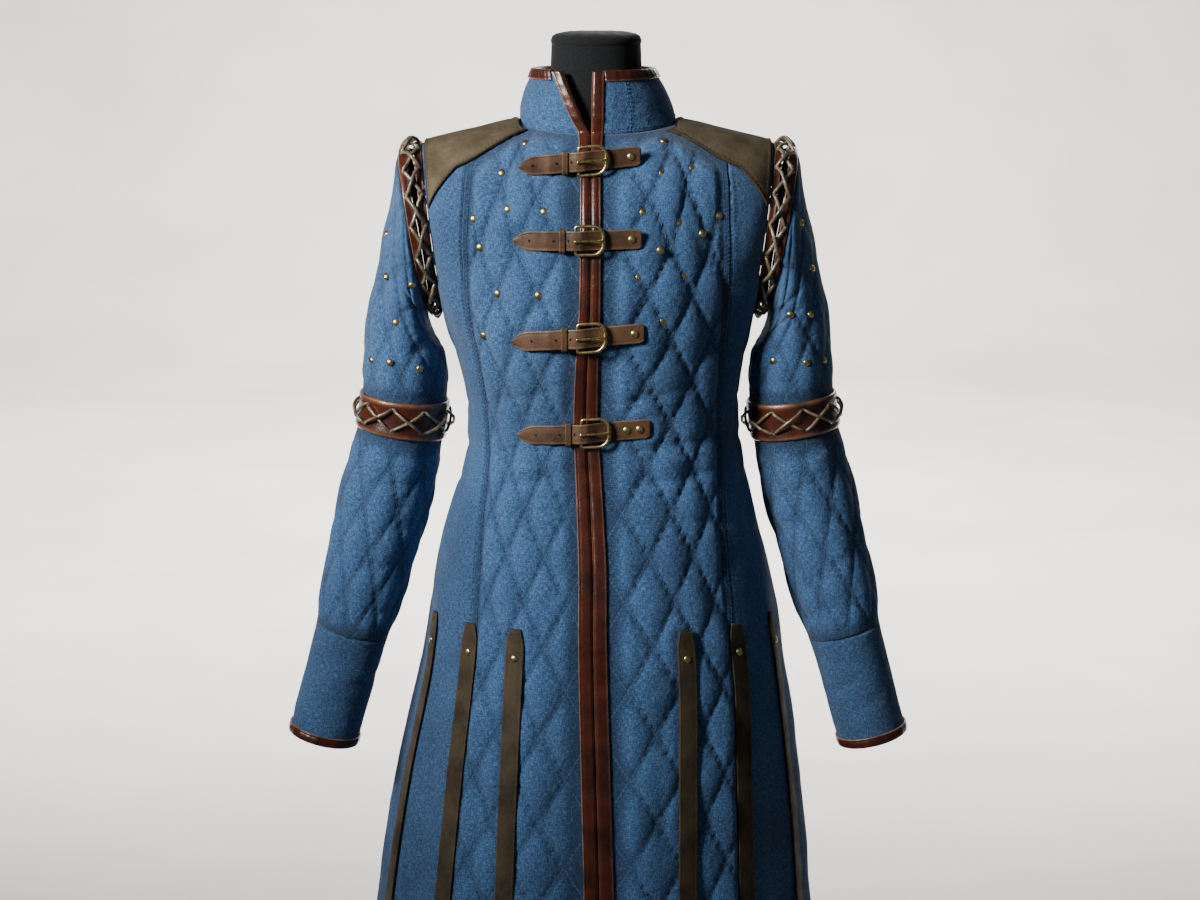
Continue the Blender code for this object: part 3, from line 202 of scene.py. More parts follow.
# Cast brass left to tarnish and rubbed bright again on its high places.
def makeBrass():
    made, tree, spot = startMaterial("antiqueBrass", {"Metallic": 1.0})
    tarnish = noise(tree, spot["Object"], 260.0, 5.0, 0.6)
    return finishMaterial(made, Base_Color=toned(tree, tarnish, (0.3, "brassDark"), (0.52, "brass")),
                          Roughness=stretched(tree, tarnish, start=0.45, end=0.22),
                          Normal=relief(tree, tarnish, 0.3, 0.2))


# One plain finish with two tones and a fine relief, for what is seen little.
def makePlain(name, dark, base, grain, depth, values):
    made, tree, spot = startMaterial(name, values)
    tone = noise(tree, spot["Object"], 1000 / grain, 3.0, 0.6)
    return finishMaterial(made, Base_Color=toned(tree, tone, (0.3, dark), (0.7, base)),
                          Normal=relief(tree, tone, 0.6, depth))


blueCanvas = makeBlueCanvas()
redLeather = makeLeather("waxedRedBrownLeather", {
    "dark": "redLeatherDark", "base": "redLeather", "edge": "redLeatherWornEdgeHighlight", "edgeWearAndPaintedLightStrength": 0.7, "thin": 3.2,
    "dye": 38, "rough": (0.42, 0.24), "wax": 0.5, "specular": 0.5, "grain": 1.3, "crease": 0.8})
oliveLeather = makeLeather("mattOliveLeather", {
    "dark": "oliveDark", "base": "olive", "edge": "olivePaintedRimShadow", "edgeWearAndPaintedLightStrength": 1.0, "thin": 1.3, "dye": 22,
    "rough": (0.85, 0.68), "wax": 0.0, "specular": 0.3, "grain": 1.4, "crease": 1.0})
strapLeather = makeLeather("oiledStrapLeather", {
    "dark": "strapDark", "base": "strap", "edge": "strapEdge", "edgeWearAndPaintedLightStrength": 0.55, "thin": 1.3, "dye": 30,
    "rough": (0.62, 0.45), "wax": 0.08, "specular": 0.4, "grain": 1.2, "crease": 0.6})
skirtLeather = makeLeather("oliveStripLeather", {
    "dark": "skirtDark", "base": "skirt", "edge": "skirtEdgeHighlight", "edgeWearAndPaintedLightStrength": 0.5, "thin": 1.3, "dye": 26,
    "rough": (0.75, 0.55), "wax": 0.0, "specular": 0.35, "grain": 1.2, "crease": 0.6})
thongLeather = makeLeather("waxedBronzeThong", {
    "dark": "thongDark", "base": "thong", "edge": "thong", "edgeWearAndPaintedLightStrength": 0.0, "thin": 1.3, "dye": 90,
    "rough": (0.34, 0.18), "wax": 0.7, "specular": 0.7, "grain": 0.9, "crease": 0.4})
antiqueBrass = makeBrass()
cottonThread = makePlain("cottonThread", "canvasMid", "canvasThread", 1.0, 0.1, {"Roughness": 0.85})
brownThread = makePlain("waxedBrownThread", "strapDark", "strap", 1.0, 0.1, {"Roughness": 0.6})
blackJersey = makePlain("blackJersey", "jerseyDark", "jersey", 1.6, 0.5, {
    "Roughness": 0.92, "Sheen Weight": 0.15, "Specular IOR Level": 0.2})
darkSteel = makePlain("paintedSteel", "steelDark", "steel", 1.2, 0.08, {"Roughness": 0.42, "Metallic": 0.6})
# Painted shade for the strap holes: a near-black finish.
holeShadowFinish = makePlain("paintedHoleShadow", "hole", "hole", 1.0, 0.1, {"Roughness": 0.9})
print("Materials made")


# The body's grid: columns from the front opening round one side to the middle of the back, rows from the hem.
neckSide, frontSeam, armFront, armMiddle, armBack, backSeam, midBack = 4, 6, 8, 10, 12, 14, 20
stripTopRow, underarmRow, yokeRow, topRow = 10.35, 18, 19, 22
# The body's sections in millimetres: height, half width, front and back depth, lean, opening, seam.
bodyShape = {
    "rows": (
        (400, 258, 212, 222, -5, 1, 180), (534, 246, 198, 206, -5, 2, 170), (716, 224, 173, 182, 1, -2, 158),
        (834, 203, 154, 166, 6, -5, 149), (892, 195, 146, 158, 6, -6, 143), (956, 184, 134, 147, 4, -6, 138),
        (1010, 170, 122, 132, 5, -8, 134), (1071, 154, 111, 117, 7, -11, 130),
        (1109, 150, 108, 111, 6, -13, 129), (1180, 157, 116, 111, 2, -12, 134),
        (1237, 171, 124, 115, -2, -9, 139), (1306, 176, 122, 117, -3, -8, 139),
    ),
    "round": 2 / 2.25, "hem": 0.400, "underarm": 1.258, "yoke": 1.306, "wall": 4 * mm, "leather": 2 * mm,
    "neck": (0.086, 0.062, 0.064, 1.437, 0.012), "seamShare": 0.46,
    "collarTop": (0.066, 0.056, 0.060, 1.492, -0.005), "corner": {1: math.radians(-2), -1: math.radians(30)},
    "cell": (26, 47.7), "foldDepth": 9 * mm, "foldStart": 1.0, "foldReach": 0.6,
    "breastBend": (0.30, 0.62), "shoulderBend": (-0.18, 0.34), "armholePull": 3.5, "armholeTurn": 1.5,
}
# The arm's rings in millimetres from the armhole to the cuff: x, y, z, tilt, half height, half depth.
armShape = (
    (182, 0, 1320, 7, 92, 62), (190, 0, 1319, 7.5, 92, 63), (196, 0, 1317, 8.5, 91, 64),
    (204, 0, 1313, 10, 89, 65), (208, 0, 1283, 15, 72, 64), (211, 0, 1257, 25, 59, 62),
    (213, 0, 1230, 41, 48, 60), (214, 0, 1198, 66, 44, 58), (215, 0, 1158, 82, 46, 57),
    (218, -1, 1110, 82, 48, 55), (228, -3, 1062, 78, 48, 53), (240, -8, 1013, 76, 49, 51),
    (252, -14, 965, 75, 47, 49), (264, -21, 916, 75, 44.5, 46.5), (277, -29, 868, 75, 41, 44),
    (288, -35, 828, 75, 39.5, 42), (299, -41, 788, 75, 39, 40.5), (310, -46, 748, 76, 38.5, 39.5),
)


def throughTable(places, values, at):
    places, values = np.asarray(places, float), np.asarray(values, float)
    slopes = np.gradient(values, places)
    at = np.clip(np.asarray(at, float), places[0], places[-1])
    row = np.clip(np.searchsorted(places, at, side="right") - 1, 0, len(places) - 2)
    step = places[row + 1] - places[row]
    s = (at - places[row]) / step
    return ((2 * s**3 - 3 * s**2 + 1) * values[row] + (s**3 - 2 * s**2 + s) * step * slopes[row]
            + (3 * s**2 - 2 * s**3) * values[row + 1] + (s**3 - s**2) * step * slopes[row + 1])


def easing(distance, reach):
    s = np.clip(1 - np.asarray(distance, float) / reach, 0, 1)
    return s * s * (3 - 2 * s)


def rising(value, start, end):
    s = np.clip((np.asarray(value, float) - start) / (end - start), 0, 1)
    return s * s * (3 - 2 * s)


def unit(vector):
    return vector / np.maximum(np.linalg.norm(vector, axis=-1, keepdims=True), 1e-12)


def place(x, y, z):
    return np.stack(np.broadcast_arrays(np.asarray(x, float), y, z), -1)


def grids(*values):
    return np.broadcast_arrays(*(np.asarray(value, float) for value in values))


# How many columns a place lies from the opening or, behind, from the middle of the back.
def fromMiddle(column):
    return np.minimum(column, midBack - column)


def bodySection(height):
    heights = [row[0] * mm for row in bodyShape["rows"]]
    return [throughTable(heights, [row[k] * mm for row in bodyShape["rows"]], height) for k in range(1, 7)]


def bent(value):
    return np.sign(value) * np.abs(value) ** bodyShape["round"]


def angleOf(share):
    return np.arcsin(np.sign(share) * np.minimum(1, np.abs(share)) ** (1 / bodyShape["round"]))


# Soft folds of the side panels, opening towards the hem.
def sideFold(column, height):
    reach = np.maximum(0, (bodyShape["foldStart"] - height) / bodyShape["foldReach"])
    inside = np.maximum(0, np.minimum(column - frontSeam, backSeam - column)) / 4
    return bodyShape["foldDepth"] * reach * np.cos((column - armMiddle) * np.pi) * np.minimum(1, 2 * inside)


def sectionPoint(side, column, height):
    halfWidth, front, back, lean, opening, princess = bodySection(height)
    start = side * angleOf((opening - lean) / halfWidth)
    seam = angleOf(princess / halfWidth)
    angle = np.where(column <= frontSeam, start + (seam - start) * column / 6,
                     np.where(column <= backSeam, seam + (np.pi - 2 * seam) * (column - frontSeam) / 8,
                              np.pi - seam + seam * (column - backSeam) / 6))
    depth = np.where(np.cos(angle) > 0, front, back)
    x = lean + side * halfWidth * bent(np.sin(angle)) + side * sideFold(column, height)
    return place(x, -depth * bent(np.cos(angle)), height)


def armRing(station):
    return [throughTable(range(len(armShape)), [row[k] for row in armShape], station) for k in range(6)]


def ringRadial(side, station, angle):
    _, _, _, tilt, up, depth = armRing(station)
    tilt = np.radians(tilt)
    rise, ahead = np.cos(angle) / up, np.sin(angle) / depth
    return unit(place(rise * side * np.sin(tilt), -ahead, rise * np.cos(tilt)))


# Angle 0 is the arm's top or outer side, and the front comes next.
def ringPoint(side, station, angle, lift=0.0):
    x, y, z, tilt, up, depth = armRing(station)
    tilt = np.radians(tilt)
    rise, ahead = up * np.cos(angle), depth * np.sin(angle)
    point = place(side * x + rise * side * np.sin(tilt), y - ahead, z + rise * np.cos(tilt)) * mm
    return point + np.asarray(lift)[..., None] * ringRadial(side, station, angle)


def topPoint(side, column):
    halfWidth, front, back, height, dip = bodyShape["neck"]
    mirrored = fromMiddle(column)
    behind = column > armMiddle
    opening = float(bodySection(bodyShape["yoke"])[4])
    start = np.where(behind, 0.0, side * math.asin(opening / halfWidth))
    angle = start + (np.pi / 2 - start) * np.minimum(mirrored, neckSide) / neckSide
    neckline = place(side * halfWidth * np.sin(angle), np.where(behind, back, -front) * np.cos(angle),
                     height + np.where(behind, dip, -dip) * np.cos(angle))
    corner = np.array((side * halfWidth, 0.0, height))
    share = np.interp(mirrored, (neckSide, frontSeam, armFront), (0.0, bodyShape["seamShare"], 1.0))
    seam = corner + (ringPoint(side, 0.0, 0.0) - corner) * share[..., None]
    return np.where((mirrored <= neckSide)[..., None], neckline, seam)


def plainTorso(side, column, row):
    heights = (bodyShape["hem"], bodyShape["underarm"], bodyShape["yoke"])
    height = np.interp(row, (0, underarmRow, yokeRow), heights)
    below = sectionPoint(side, column, height)
    low = sectionPoint(side, column, np.full_like(height, bodyShape["yoke"]))
    top = topPoint(side, column)
    shoulder = 1 - easing(fromMiddle(column), 5)
    inward, upward = (flat + more * shoulder for flat, more in
                      zip(bodyShape["breastBend"], bodyShape["shoulderBend"]))
    bend = place((low[..., 0] + top[..., 0]) / 2, low[..., 1] + (top[..., 1] - low[..., 1]) * inward,
                 low[..., 2] + (top[..., 2] - low[..., 2]) * upward)
    s = np.clip((row - yokeRow) / (topRow - yokeRow), 0, 1)[..., None]
    curve = (1 - s)**2 * low + 2 * s * (1 - s) * bend + s * s * top
    return np.where((row <= yokeRow)[..., None], below, curve)


# The nearest place on the armhole's edge, how far off it is and its angle round the arm's 24 steps.
def armholeEdge(column, row):
    above = row > underarmRow
    nearColumn = np.where(above, np.where(column < armMiddle, float(armFront), float(armBack)),
                          np.clip(column, armFront, armBack))
    nearRow = np.where(above, row, float(underarmRow))
    distance = np.where(above, np.abs(column - nearColumn), np.hypot(column - nearColumn, underarmRow - row))
    step = np.where(above, 2 * (topRow - nearRow), 8 + 2 * (nearColumn - armFront))
    step = np.where(above & (nearColumn > armMiddle), 24 - step, step)
    return nearColumn, nearRow, distance, step * 2 * np.pi / 24


# The coat's body at its stitched level, by column from the opening and row from the hem.
def torsoPoint(side, column, row):
    column, row = grids(column, row)
    nearColumn, nearRow, distance, angle = armholeEdge(column, row)
    pull = easing(distance, bodyShape["armholePull"])[..., None]
    drawn = ringPoint(side, 0.0 * angle, angle) - plainTorso(side, nearColumn, nearRow)
    return plainTorso(side, column, row) + pull * drawn


def facing(side, column, row):
    step = 0.05
    back, ahead = np.maximum(0, column - step), np.minimum(midBack, column + step)
    ahead = np.where((row >= underarmRow) & (np.abs(column - armFront) < step), column, ahead)
    back = np.where((row >= underarmRow) & (np.abs(column - armBack) < step), column, back)
    across = torsoPoint(side, ahead, row) - torsoPoint(side, back, row)
    up = (torsoPoint(side, column, np.minimum(topRow, row + step))
          - torsoPoint(side, column, np.maximum(0, row - step)))
    return unit(np.cross(across, up)) * side


def torsoNormal(side, column, row):
    column, row = grids(column, row)
    normal = facing(side, column, row)
    seam = (rising(row, topRow - 1, topRow) * (fromMiddle(column) >= neckSide))[..., None] / 2
    normal = unit(normal * (1 - seam) + facing(side, midBack - column, row) * seam)
    _, _, distance, angle = armholeEdge(column, row)
    pull = easing(distance, bodyShape["armholeTurn"])[..., None]
    return unit(normal * (1 - pull) + ringRadial(side, 0.0 * angle, angle) * pull)


# Soft seeded noise from -1 to 1, about as broad as size.
def cloudy(points, size, seed):
    spread = points / size + seed * 17.31
    low = np.floor(spread).astype(np.int64)
    part = spread - low
    part = part * part * (3 - 2 * part)
    total = np.zeros(points.shape[:-1])
    for corner in np.ndindex(2, 2, 2):
        key = low + np.array(corner)
        mixed = (key[..., 0] * 73856093) ^ (key[..., 1] * 19349663) ^ (key[..., 2] * 83492791)
        value = ((mixed * 2654435761 >> 9) & 65535) / 32767.5 - 1
        total += value * np.prod(np.where(np.array(corner) == 1, part, 1 - part), -1)
    return total


# Creases by column and row at both ends, half width in millimetres and rise (+) or dip (-) in millimetres.
creases = {
    "frontLeft": (
        (0.9, 14.5, 5.6, 14.2, 6, -2.4), (1.4, 13.8, 5.9, 13.3, 6, -2.0), (0.8, 13.1, 3.6, 12.9, 5, -1.5),
        (1.0, 14.1, 4.8, 13.8, 5, 1.8), (2.4, 15.7, 6.0, 15.3, 6, -1.6), (0.9, 16.0, 2.6, 15.6, 5, -1.4),
        (3.4, 12.4, 6.0, 11.6, 7, -1.8), (1.2, 11.8, 2.8, 9.6, 9, -1.8), (4.6, 10.6, 4.9, 1.0, 15, -2.6),
        (2.2, 9.0, 1.7, 0.5, 17, 3.0), (5.9, 18.4, 3.4, 19.9, 7, -1.6), (5.6, 17.2, 4.0, 18.3, 6, -1.2),
        (0.9, 17.9, 3.2, 17.4, 6, -1.3), (3.6, 8.2, 3.9, 4.2, 10, -1.6),
    ),
    "frontRight": (
        (0.8, 14.4, 5.4, 14.6, 6, -2.4), (1.2, 13.6, 6.0, 13.9, 6, -2.1), (2.2, 12.9, 6.0, 12.6, 6, -1.6),
        (1.2, 14.0, 4.4, 14.2, 5, 1.8), (0.9, 15.5, 4.2, 15.9, 6, -1.6), (3.8, 16.4, 6.0, 16.9, 6, -1.3),
        (0.8, 12.2, 3.0, 11.3, 7, -1.9), (4.0, 11.6, 5.9, 10.2, 8, -1.8), (3.6, 10.2, 3.9, 0.8, 15, -2.6),
        (1.5, 9.4, 1.2, 0.5, 14, 2.6), (5.3, 9.0, 5.5, 0.6, 13, 2.4), (5.9, 18.0, 3.6, 19.6, 7, -1.7),
        (5.0, 19.2, 3.0, 20.4, 7, -1.3), (2.0, 7.6, 2.6, 3.6, 9, -1.5),
    ),
    "sideLeft": (
        (6.2, 14.4, 13.6, 14.0, 7, -2.2), (6.6, 13.6, 12.0, 13.2, 6, -1.8), (8.0, 15.2, 13.8, 15.5, 6, -1.6),
        (7.6, 17.6, 10.2, 16.2, 8, -2.0), (12.4, 17.6, 10.8, 16.0, 8, -1.8), (6.4, 16.2, 8.8, 17.0, 6, -1.4),
        (6.3, 12.4, 9.6, 11.4, 8, -1.6), (10.8, 12.6, 13.8, 11.8, 8, -1.6), (7.0, 10.8, 7.1, 1.0, 10, -1.6),
    ),
    "sideRight": (
        (6.3, 14.6, 13.4, 14.2, 7, -2.2), (6.2, 13.4, 11.4, 13.7, 6, -1.8), (7.0, 15.6, 13.6, 15.1, 6, -1.6),
        (7.8, 17.5, 9.8, 16.0, 8, -2.0), (12.2, 17.7, 10.6, 16.3, 8, -1.7), (10.6, 16.9, 13.6, 16.4, 6, -1.3),
        (6.4, 11.8, 9.9, 12.4, 8, -1.7), (10.2, 11.9, 13.7, 12.6, 8, -1.5), (13.0, 10.8, 13.1, 1.2, 10, -1.6),
    ),
    "backRight": (
        (14.2, 14.4, 19.9, 14.7, 7, -2.4), (14.6, 13.6, 18.6, 13.9, 6, -1.9),
        (16.0, 15.4, 20.0, 15.6, 6, -1.5),
        (14.3, 12.6, 17.0, 12.1, 8, -1.8), (15.6, 10.6, 15.2, 0.8, 15, -2.6), (17.9, 9.8, 18.3, 0.6, 15, 2.8),
        (14.2, 18.4, 16.4, 19.8, 7, -1.6), (16.8, 17.2, 19.4, 16.8, 7, -1.3),
    ),
    "backLeft": (
        (14.2, 14.7, 20.0, 14.5, 7, -2.4), (14.4, 13.7, 19.2, 13.5, 6, -1.9),
        (15.4, 15.8, 19.0, 15.4, 6, -1.5), (14.2, 12.2, 17.6, 12.8, 8, -1.8),
        (16.2, 10.4, 16.0, 0.8, 15, -2.6), (18.8, 10.0, 18.4, 0.6, 14, 2.6),
        (14.3, 18.0, 16.2, 19.5, 7, -1.6), (17.2, 18.4, 19.6, 17.8, 7, -1.2),
    ),
}


def creased(name, across, along):
    total = np.zeros(np.broadcast(across, along).shape)
    for startAcross, startAlong, endAcross, endAlong, half, rise in creases[name]:
        cellAcross, cellAlong = bodyShape["cell"]
        x, y = (across - startAcross) * cellAcross, (along - startAlong) * cellAlong
        dx, dy = (endAcross - startAcross) * cellAcross, (endAlong - startAlong) * cellAlong
        share = np.clip((x * dx + y * dy) / (dx * dx + dy * dy), 0, 1)
        away = np.hypot(x - share * dx, y - share * dy)
        taper = 0.45 + 0.55 * np.sin(np.pi * np.clip(share, 0.02, 0.98))
        total += rise * mm * taper * np.exp(-(away / half) ** 2)
    return total


# A diamond's padding: 1 at its middle, 0 on its stitch lines, full and round in between.
def diamond(across, along):
    first, second = (across + along) / 2, (across - along) / 2
    swell = np.abs(np.sin(np.pi * first)) * np.abs(np.sin(np.pi * second))
    cell = np.floor(first) * 12.9898 + np.floor(second) * 78.233
    uneven = np.sin(cell) * 43758.5453
    return swell ** 0.42 * (0.86 + 0.22 * (uneven - np.floor(uneven)))


quilting = {"rise": 6.4 * mm, "sleeveRise": 4.2 * mm, "channel": 1.7 * mm, "pucker": 0.45 * mm,
            "cloud": 1.3 * mm, "press": 0.55}


# The shoulder patch: its columns, how far its front leans towards the collar, and its lower edge.
patchShape = {"columns": (4.15, 7.9), "lean": 1.5,
              "edge": ((2.6, 3.6, 4.5, 5.5, 6.4, 7.0, 7.5, 8),
                       (21.8, 21.25, 20.9, 20.6, 20.4, 20.05, 19.75, 19.45)),
              "under": 1.3 * mm, "over": 3.3 * mm, "bead": (0.9 * mm, 1.4), "groove": (0.35 * mm, 4.2),
              "limp": 0.5 * mm, "rounded": 1.2 * mm}


def patchEdgeRow(mirrored):
    return np.interp(mirrored, *patchShape["edge"])


# In front, the patch's inner end leans forward along the collar's seam.
def patchColumn(column, span):
    first, last = patchShape["columns"]
    return column - patchShape["lean"] * np.maximum(0.0, span) * (last - column) / (last - first)


def patchRow(near, span, share=1.0):
    return topRow - np.abs(span) * (topRow - patchEdgeRow(near)) * share


fastenings = (
    {"height": 1.400, "buckle": -6 * mm, "tip": -86 * mm, "end": 46 * mm, "slope": 0.09},
    {"height": 1.318, "buckle": -9 * mm, "tip": -92 * mm, "end": 47 * mm, "slope": 0.02},
    {"height": 1.214, "buckle": -7 * mm, "tip": -95 * mm, "end": 50 * mm, "slope": 0.08},
    {"height": 1.108, "buckle": -3 * mm, "tip": -89 * mm, "end": 57 * mm, "slope": 0.07},
)
skirtStrips = {"front": (3.35, 3.05), "seam": (6.05, 6.0), "side": (8.2, 8.0),
               "back_seam": (13.9, 14.0), "back": (17.0, 17.2)}


# How far the padding lies pressed down under the straps and the skirt strips.
def pressed(points, column, row):
    total = np.zeros(column.shape)
    for strap in fastenings:
        middle = strap["height"] + strap["slope"] * (points[..., 0] - strap["buckle"])
        level = easing(np.abs(points[..., 2] - middle) / mm - 7, 12)
        inside = rising(points[..., 0] / mm, strap["tip"] / mm - 6, strap["tip"] / mm + 6)
        inside = inside * (1 - rising(points[..., 0] / mm, strap["end"] / mm - 6, strap["end"] / mm + 6))
        total = np.maximum(total, level * inside * (points[..., 1] < 0))
    for top, hem in skirtStrips.values():
        line = top + (hem - top) * (1 - row / stripTopRow)
        beside = easing(np.abs(column - line) * bodyShape["cell"][0] - 7, 12)
        total = np.maximum(total, 0.8 * beside * (1 - rising(row, 10.2, 10.5)))
    return total


# The small ripples that the stitching draws into the cloth on both sides of each of its lines.
def puckers(across, along, points, gap, beats, half, seed):
    first, second = (across + along) / 2, (across - along) / 2
    total = 0.0
    for line, run in ((first, second), (second, first)):
        beside = np.abs(line - np.round(line)) * gap
        total = total + np.sin(run * beats + 5 * cloudy(points, 0.03, seed)) * np.exp(-(beside / half) ** 2)
    return total


def clothRise(side, column, row, points):
    mirrored = fromMiddle(column)
    quilted = (mirrored < frontSeam) | (column > backSeam)
    seamGap = np.abs(column - (frontSeam if column.mean() < armMiddle else backSeam))
    puff = diamond(column, row) * rising(seamGap, 0.28, 0.75)
    opened = np.where(column < frontSeam, rising(column, 0.5, 1.25), 1.0)
    ends = rising(row, 0.12, 0.6) * (1 - rising(row, 21.4, 21.9))
    clearOfPatch = 1 - rising(row, patchEdgeRow(mirrored) - 0.55, patchEdgeRow(mirrored) - 0.08)
    clearOfPatch = np.where(mirrored > 2.4, clearOfPatch, 1.0)
    rise = quilting["rise"] * puff * opened * ends * clearOfPatch
    channel = quilting["channel"] * np.sin(np.pi * column / 2) ** 2 * (1 - rising(row, 17.2, 18.0))
    channel = channel * rising(seamGap, 0.1, 0.6) * rising(row, 0.1, 0.5)
    rise = np.where(quilted, rise, channel)
    # A welt about 9 mm wide stands along each princess seam, between the seam and its stitching.
    welt = 1.2 * mm * rising(seamGap, 0.0, 0.05) * (1 - rising(seamGap, 0.26, 0.34)) * clearOfPatch
    rise = rise + welt * (mirrored > 1)
    part = "front" if column.mean() < frontSeam else ("side" if column.mean() < backSeam else "back")
    wave = creased(part + ("Right" if side > 0 else "Left"), column, row)
    wave = wave + quilting["cloud"] * cloudy(points, 0.055, 3) + 0.5 * mm * cloudy(points, 0.018, 5)
    free = rising(row, 0.0, 0.5) * clearOfPatch * np.where(column < frontSeam, rising(column, 0.45, 1.0), 1.0)
    free = free * rising(armholeEdge(column, row)[2], 0.1, 0.8) * (1 - rising(row, 21.3, 21.9))
    rise = rise + quilting["pucker"] * puckers(column, row, points, 45.7, 26, 7, 7) * free * quilted * opened
    rise = (rise + wave * free) * (1 - quilting["press"] * pressed(points, column, row))
    return rise, puff * opened * ends * clearOfPatch


# A place on the outside of the body's cloth, with the way out of it.
def clothPoint(side, column, row, lift=0.0):
    column, row = grids(column, row)
    point, normal = torsoPoint(side, column, row), torsoNormal(side, column, row)
    rise, _ = clothRise(side, column, row, point)
    return point + normal * (rise + lift)[..., None], normal


def bindingRoom(inward, normal):
    leather = bodyShape["leather"]
    slant = np.abs((inward * normal).sum(-1)) * (bodyShape["wall"] + leather + 0.3 * mm)
    return leather * 0.75 + 0.45 * mm + slant


# A front edge: its place, the way into the panel and the way out of the cloth.
def edgeFrame(edge, ahead, normal):
    inward = unit(ahead - edge)
    outward = unit(normal - inward * (normal * inward).sum(-1)[..., None])
    return edge + inward * bindingRoom(inward, normal)[..., None], inward, outward


def frontFrame(side, row):
    none = np.zeros_like(row)
    edge, inside = torsoPoint(side, none, row), torsoPoint(side, none + 1, row)
    return edgeFrame(edge, inside, torsoNormal(side, none, row))


def addObject(name, data):
    made = bpy.data.objects.new(name, data)
    bpy.context.collection.objects.link(made)
    return made


# The cells of a grid, and the numbers of their four corners.
def cells(columns, rows, spans, keep=None):
    i, j = np.meshgrid(np.arange(spans), np.arange(rows - 1), indexing="ij")
    if keep is not None:
        i, j = i[keep], j[keep]
    i, j = i.ravel(), j.ravel()
    corners = ((i, j), (i + 1, j), (i + 1, j + 1), (i, j + 1))
    return corners, np.stack([a % columns * rows + b for a, b in corners], 1)


def turnOutward(points, faces):
    corners = points[faces]
    volume = 0.0
    for k in (1, 2):
        if k + 1 < faces.shape[1]:
            volume += np.einsum("ij,ij->", corners[:, 0], np.cross(corners[:, k], corners[:, k + 1]))
    return volume >= 0


def addPiece(name, points, faces, finish, pointData=None, cornerData=None, caps=()):
    points, faces = np.asarray(points, float), np.asarray(faces)
    turned = not turnOutward(points, faces)
    if turned:
        faces = faces[:, ::-1]
        caps = [cap[::-1] for cap in caps]
    mesh = bpy.data.meshes.new(name)
    mesh.from_pydata(points.tolist(), [], faces.tolist() + [list(cap) for cap in caps])
    for label, values in (pointData or {}).items():
        layer = mesh.attributes.new(label, "FLOAT", "POINT")
        layer.data.foreach_set("value", np.asarray(values, np.float32).ravel())
    for label, values in (cornerData or {}).items():
        values = values[:, ::-1] if turned else values
        if label == "UVMap":
            mesh.uv_layers.new(name=label).data.foreach_set("uv", values[..., :2].astype(np.float32).ravel())
        else:
            layer = mesh.attributes.new(label, "FLOAT_VECTOR", "CORNER")
            layer.data.foreach_set("vector", values.astype(np.float32).ravel())
    mesh.shade_smooth()
    mesh.materials.append(finish)
    return addObject(name, mesh)


# A wall from its outer and inner grids, closed round every free edge.
def wall(name, outer, inner, finish, maps=None, puff=None, closed=False, keep=None, label="puff"):
    columns, rows = outer.shape[:2]
    corners, front = cells(columns, rows, columns if closed else columns - 1, keep)
    count = columns * rows
    start, end = front.ravel(), np.roll(front, -1, 1).ravel()
    free = ~np.isin(start * count + end, end * count + start)
    rim = np.stack((end, start, start + count, end + count), 1)[free]
    faces = np.concatenate((front, front[:, ::-1] + count, rim))
    cornerData = {}
    for key, values in (maps or {}).items():
        outside = np.stack([values[a, b] for a, b in corners], 1)
        first, last = (part.reshape(-1, values.shape[-1]) for part in (outside, np.roll(outside, -1, 1)))
        around = np.stack((last, first, first, last), 1)[free]
        cornerData[key] = np.concatenate((outside, outside[:, ::-1], around))
    points = np.concatenate((outer.reshape(-1, 3), inner.reshape(-1, 3)))
    used, order = np.unique(faces, return_inverse=True)
    pointData = {}
    # The inner faces get a fixed 0.4, so the painted shade (on the cloth) or the painted rim shadow (on the
    # patches) darkens them part way.
    if puff is not None:
        pointData[label] = np.concatenate((puff.ravel(), np.full(count, 0.4)))[used]
    return addPiece(name, points[used], order.reshape(faces.shape), finish, pointData, cornerData)


def seat(piece, slot, *nodes):
    if nodes:
        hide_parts(*nodes)
    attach(piece, "root")
    return piece


# The flat cut of a cloth piece, measured on its unquilted surface: width, length and area.
def flatCut(grid, closed=False, keep=None):
    around = np.concatenate((grid, grid[:1])) if closed else grid
    across, along = np.diff(around, axis=0), np.diff(grid, axis=1)
    width = np.linalg.norm(across, axis=-1).sum(0).max()
    length = np.linalg.norm(along, axis=-1).sum(1).max()
    one, two = around[1:, 1:] - around[:-1, :-1], around[1:, :-1] - around[:-1, 1:]
    areas = np.linalg.norm(np.cross(one, two), axis=-1) / 2
    area = areas[keep].sum() if keep is not None else areas.sum()
    return float(width), float(length), float(min(area, width * length))


# Threads follow the cloth: metres along its columns and rows.
def threadMap(grid, closed=False):
    around = np.concatenate((grid, grid[:1])) if closed else grid
    across = np.linalg.norm(np.diff(around, axis=0), axis=-1).mean(1)
    along = np.linalg.norm(np.diff(grid, axis=1), axis=-1).mean(0)
    u, v = np.concatenate(((0,), across.cumsum())), np.concatenate(((0,), along.cumsum()))
    return np.stack(np.meshgrid(u, v, indexing="ij"), -1)


def seatCloth(piece, node, grid, closed=False, keep=None):
    width, length, area = flatCut(grid, closed, keep)
    seat(piece, "blue_canvas", node)
    print(piece.name, "cut", round(width, 3), round(length, 3), round(area, 3))
    return piece


# Cloth without quilting takes this fixed "puff", which sets how much painted valley shade darkens its tone.
plainValleyShade = 0.42    # the "puff" of cloth that has no quilting, for its tone


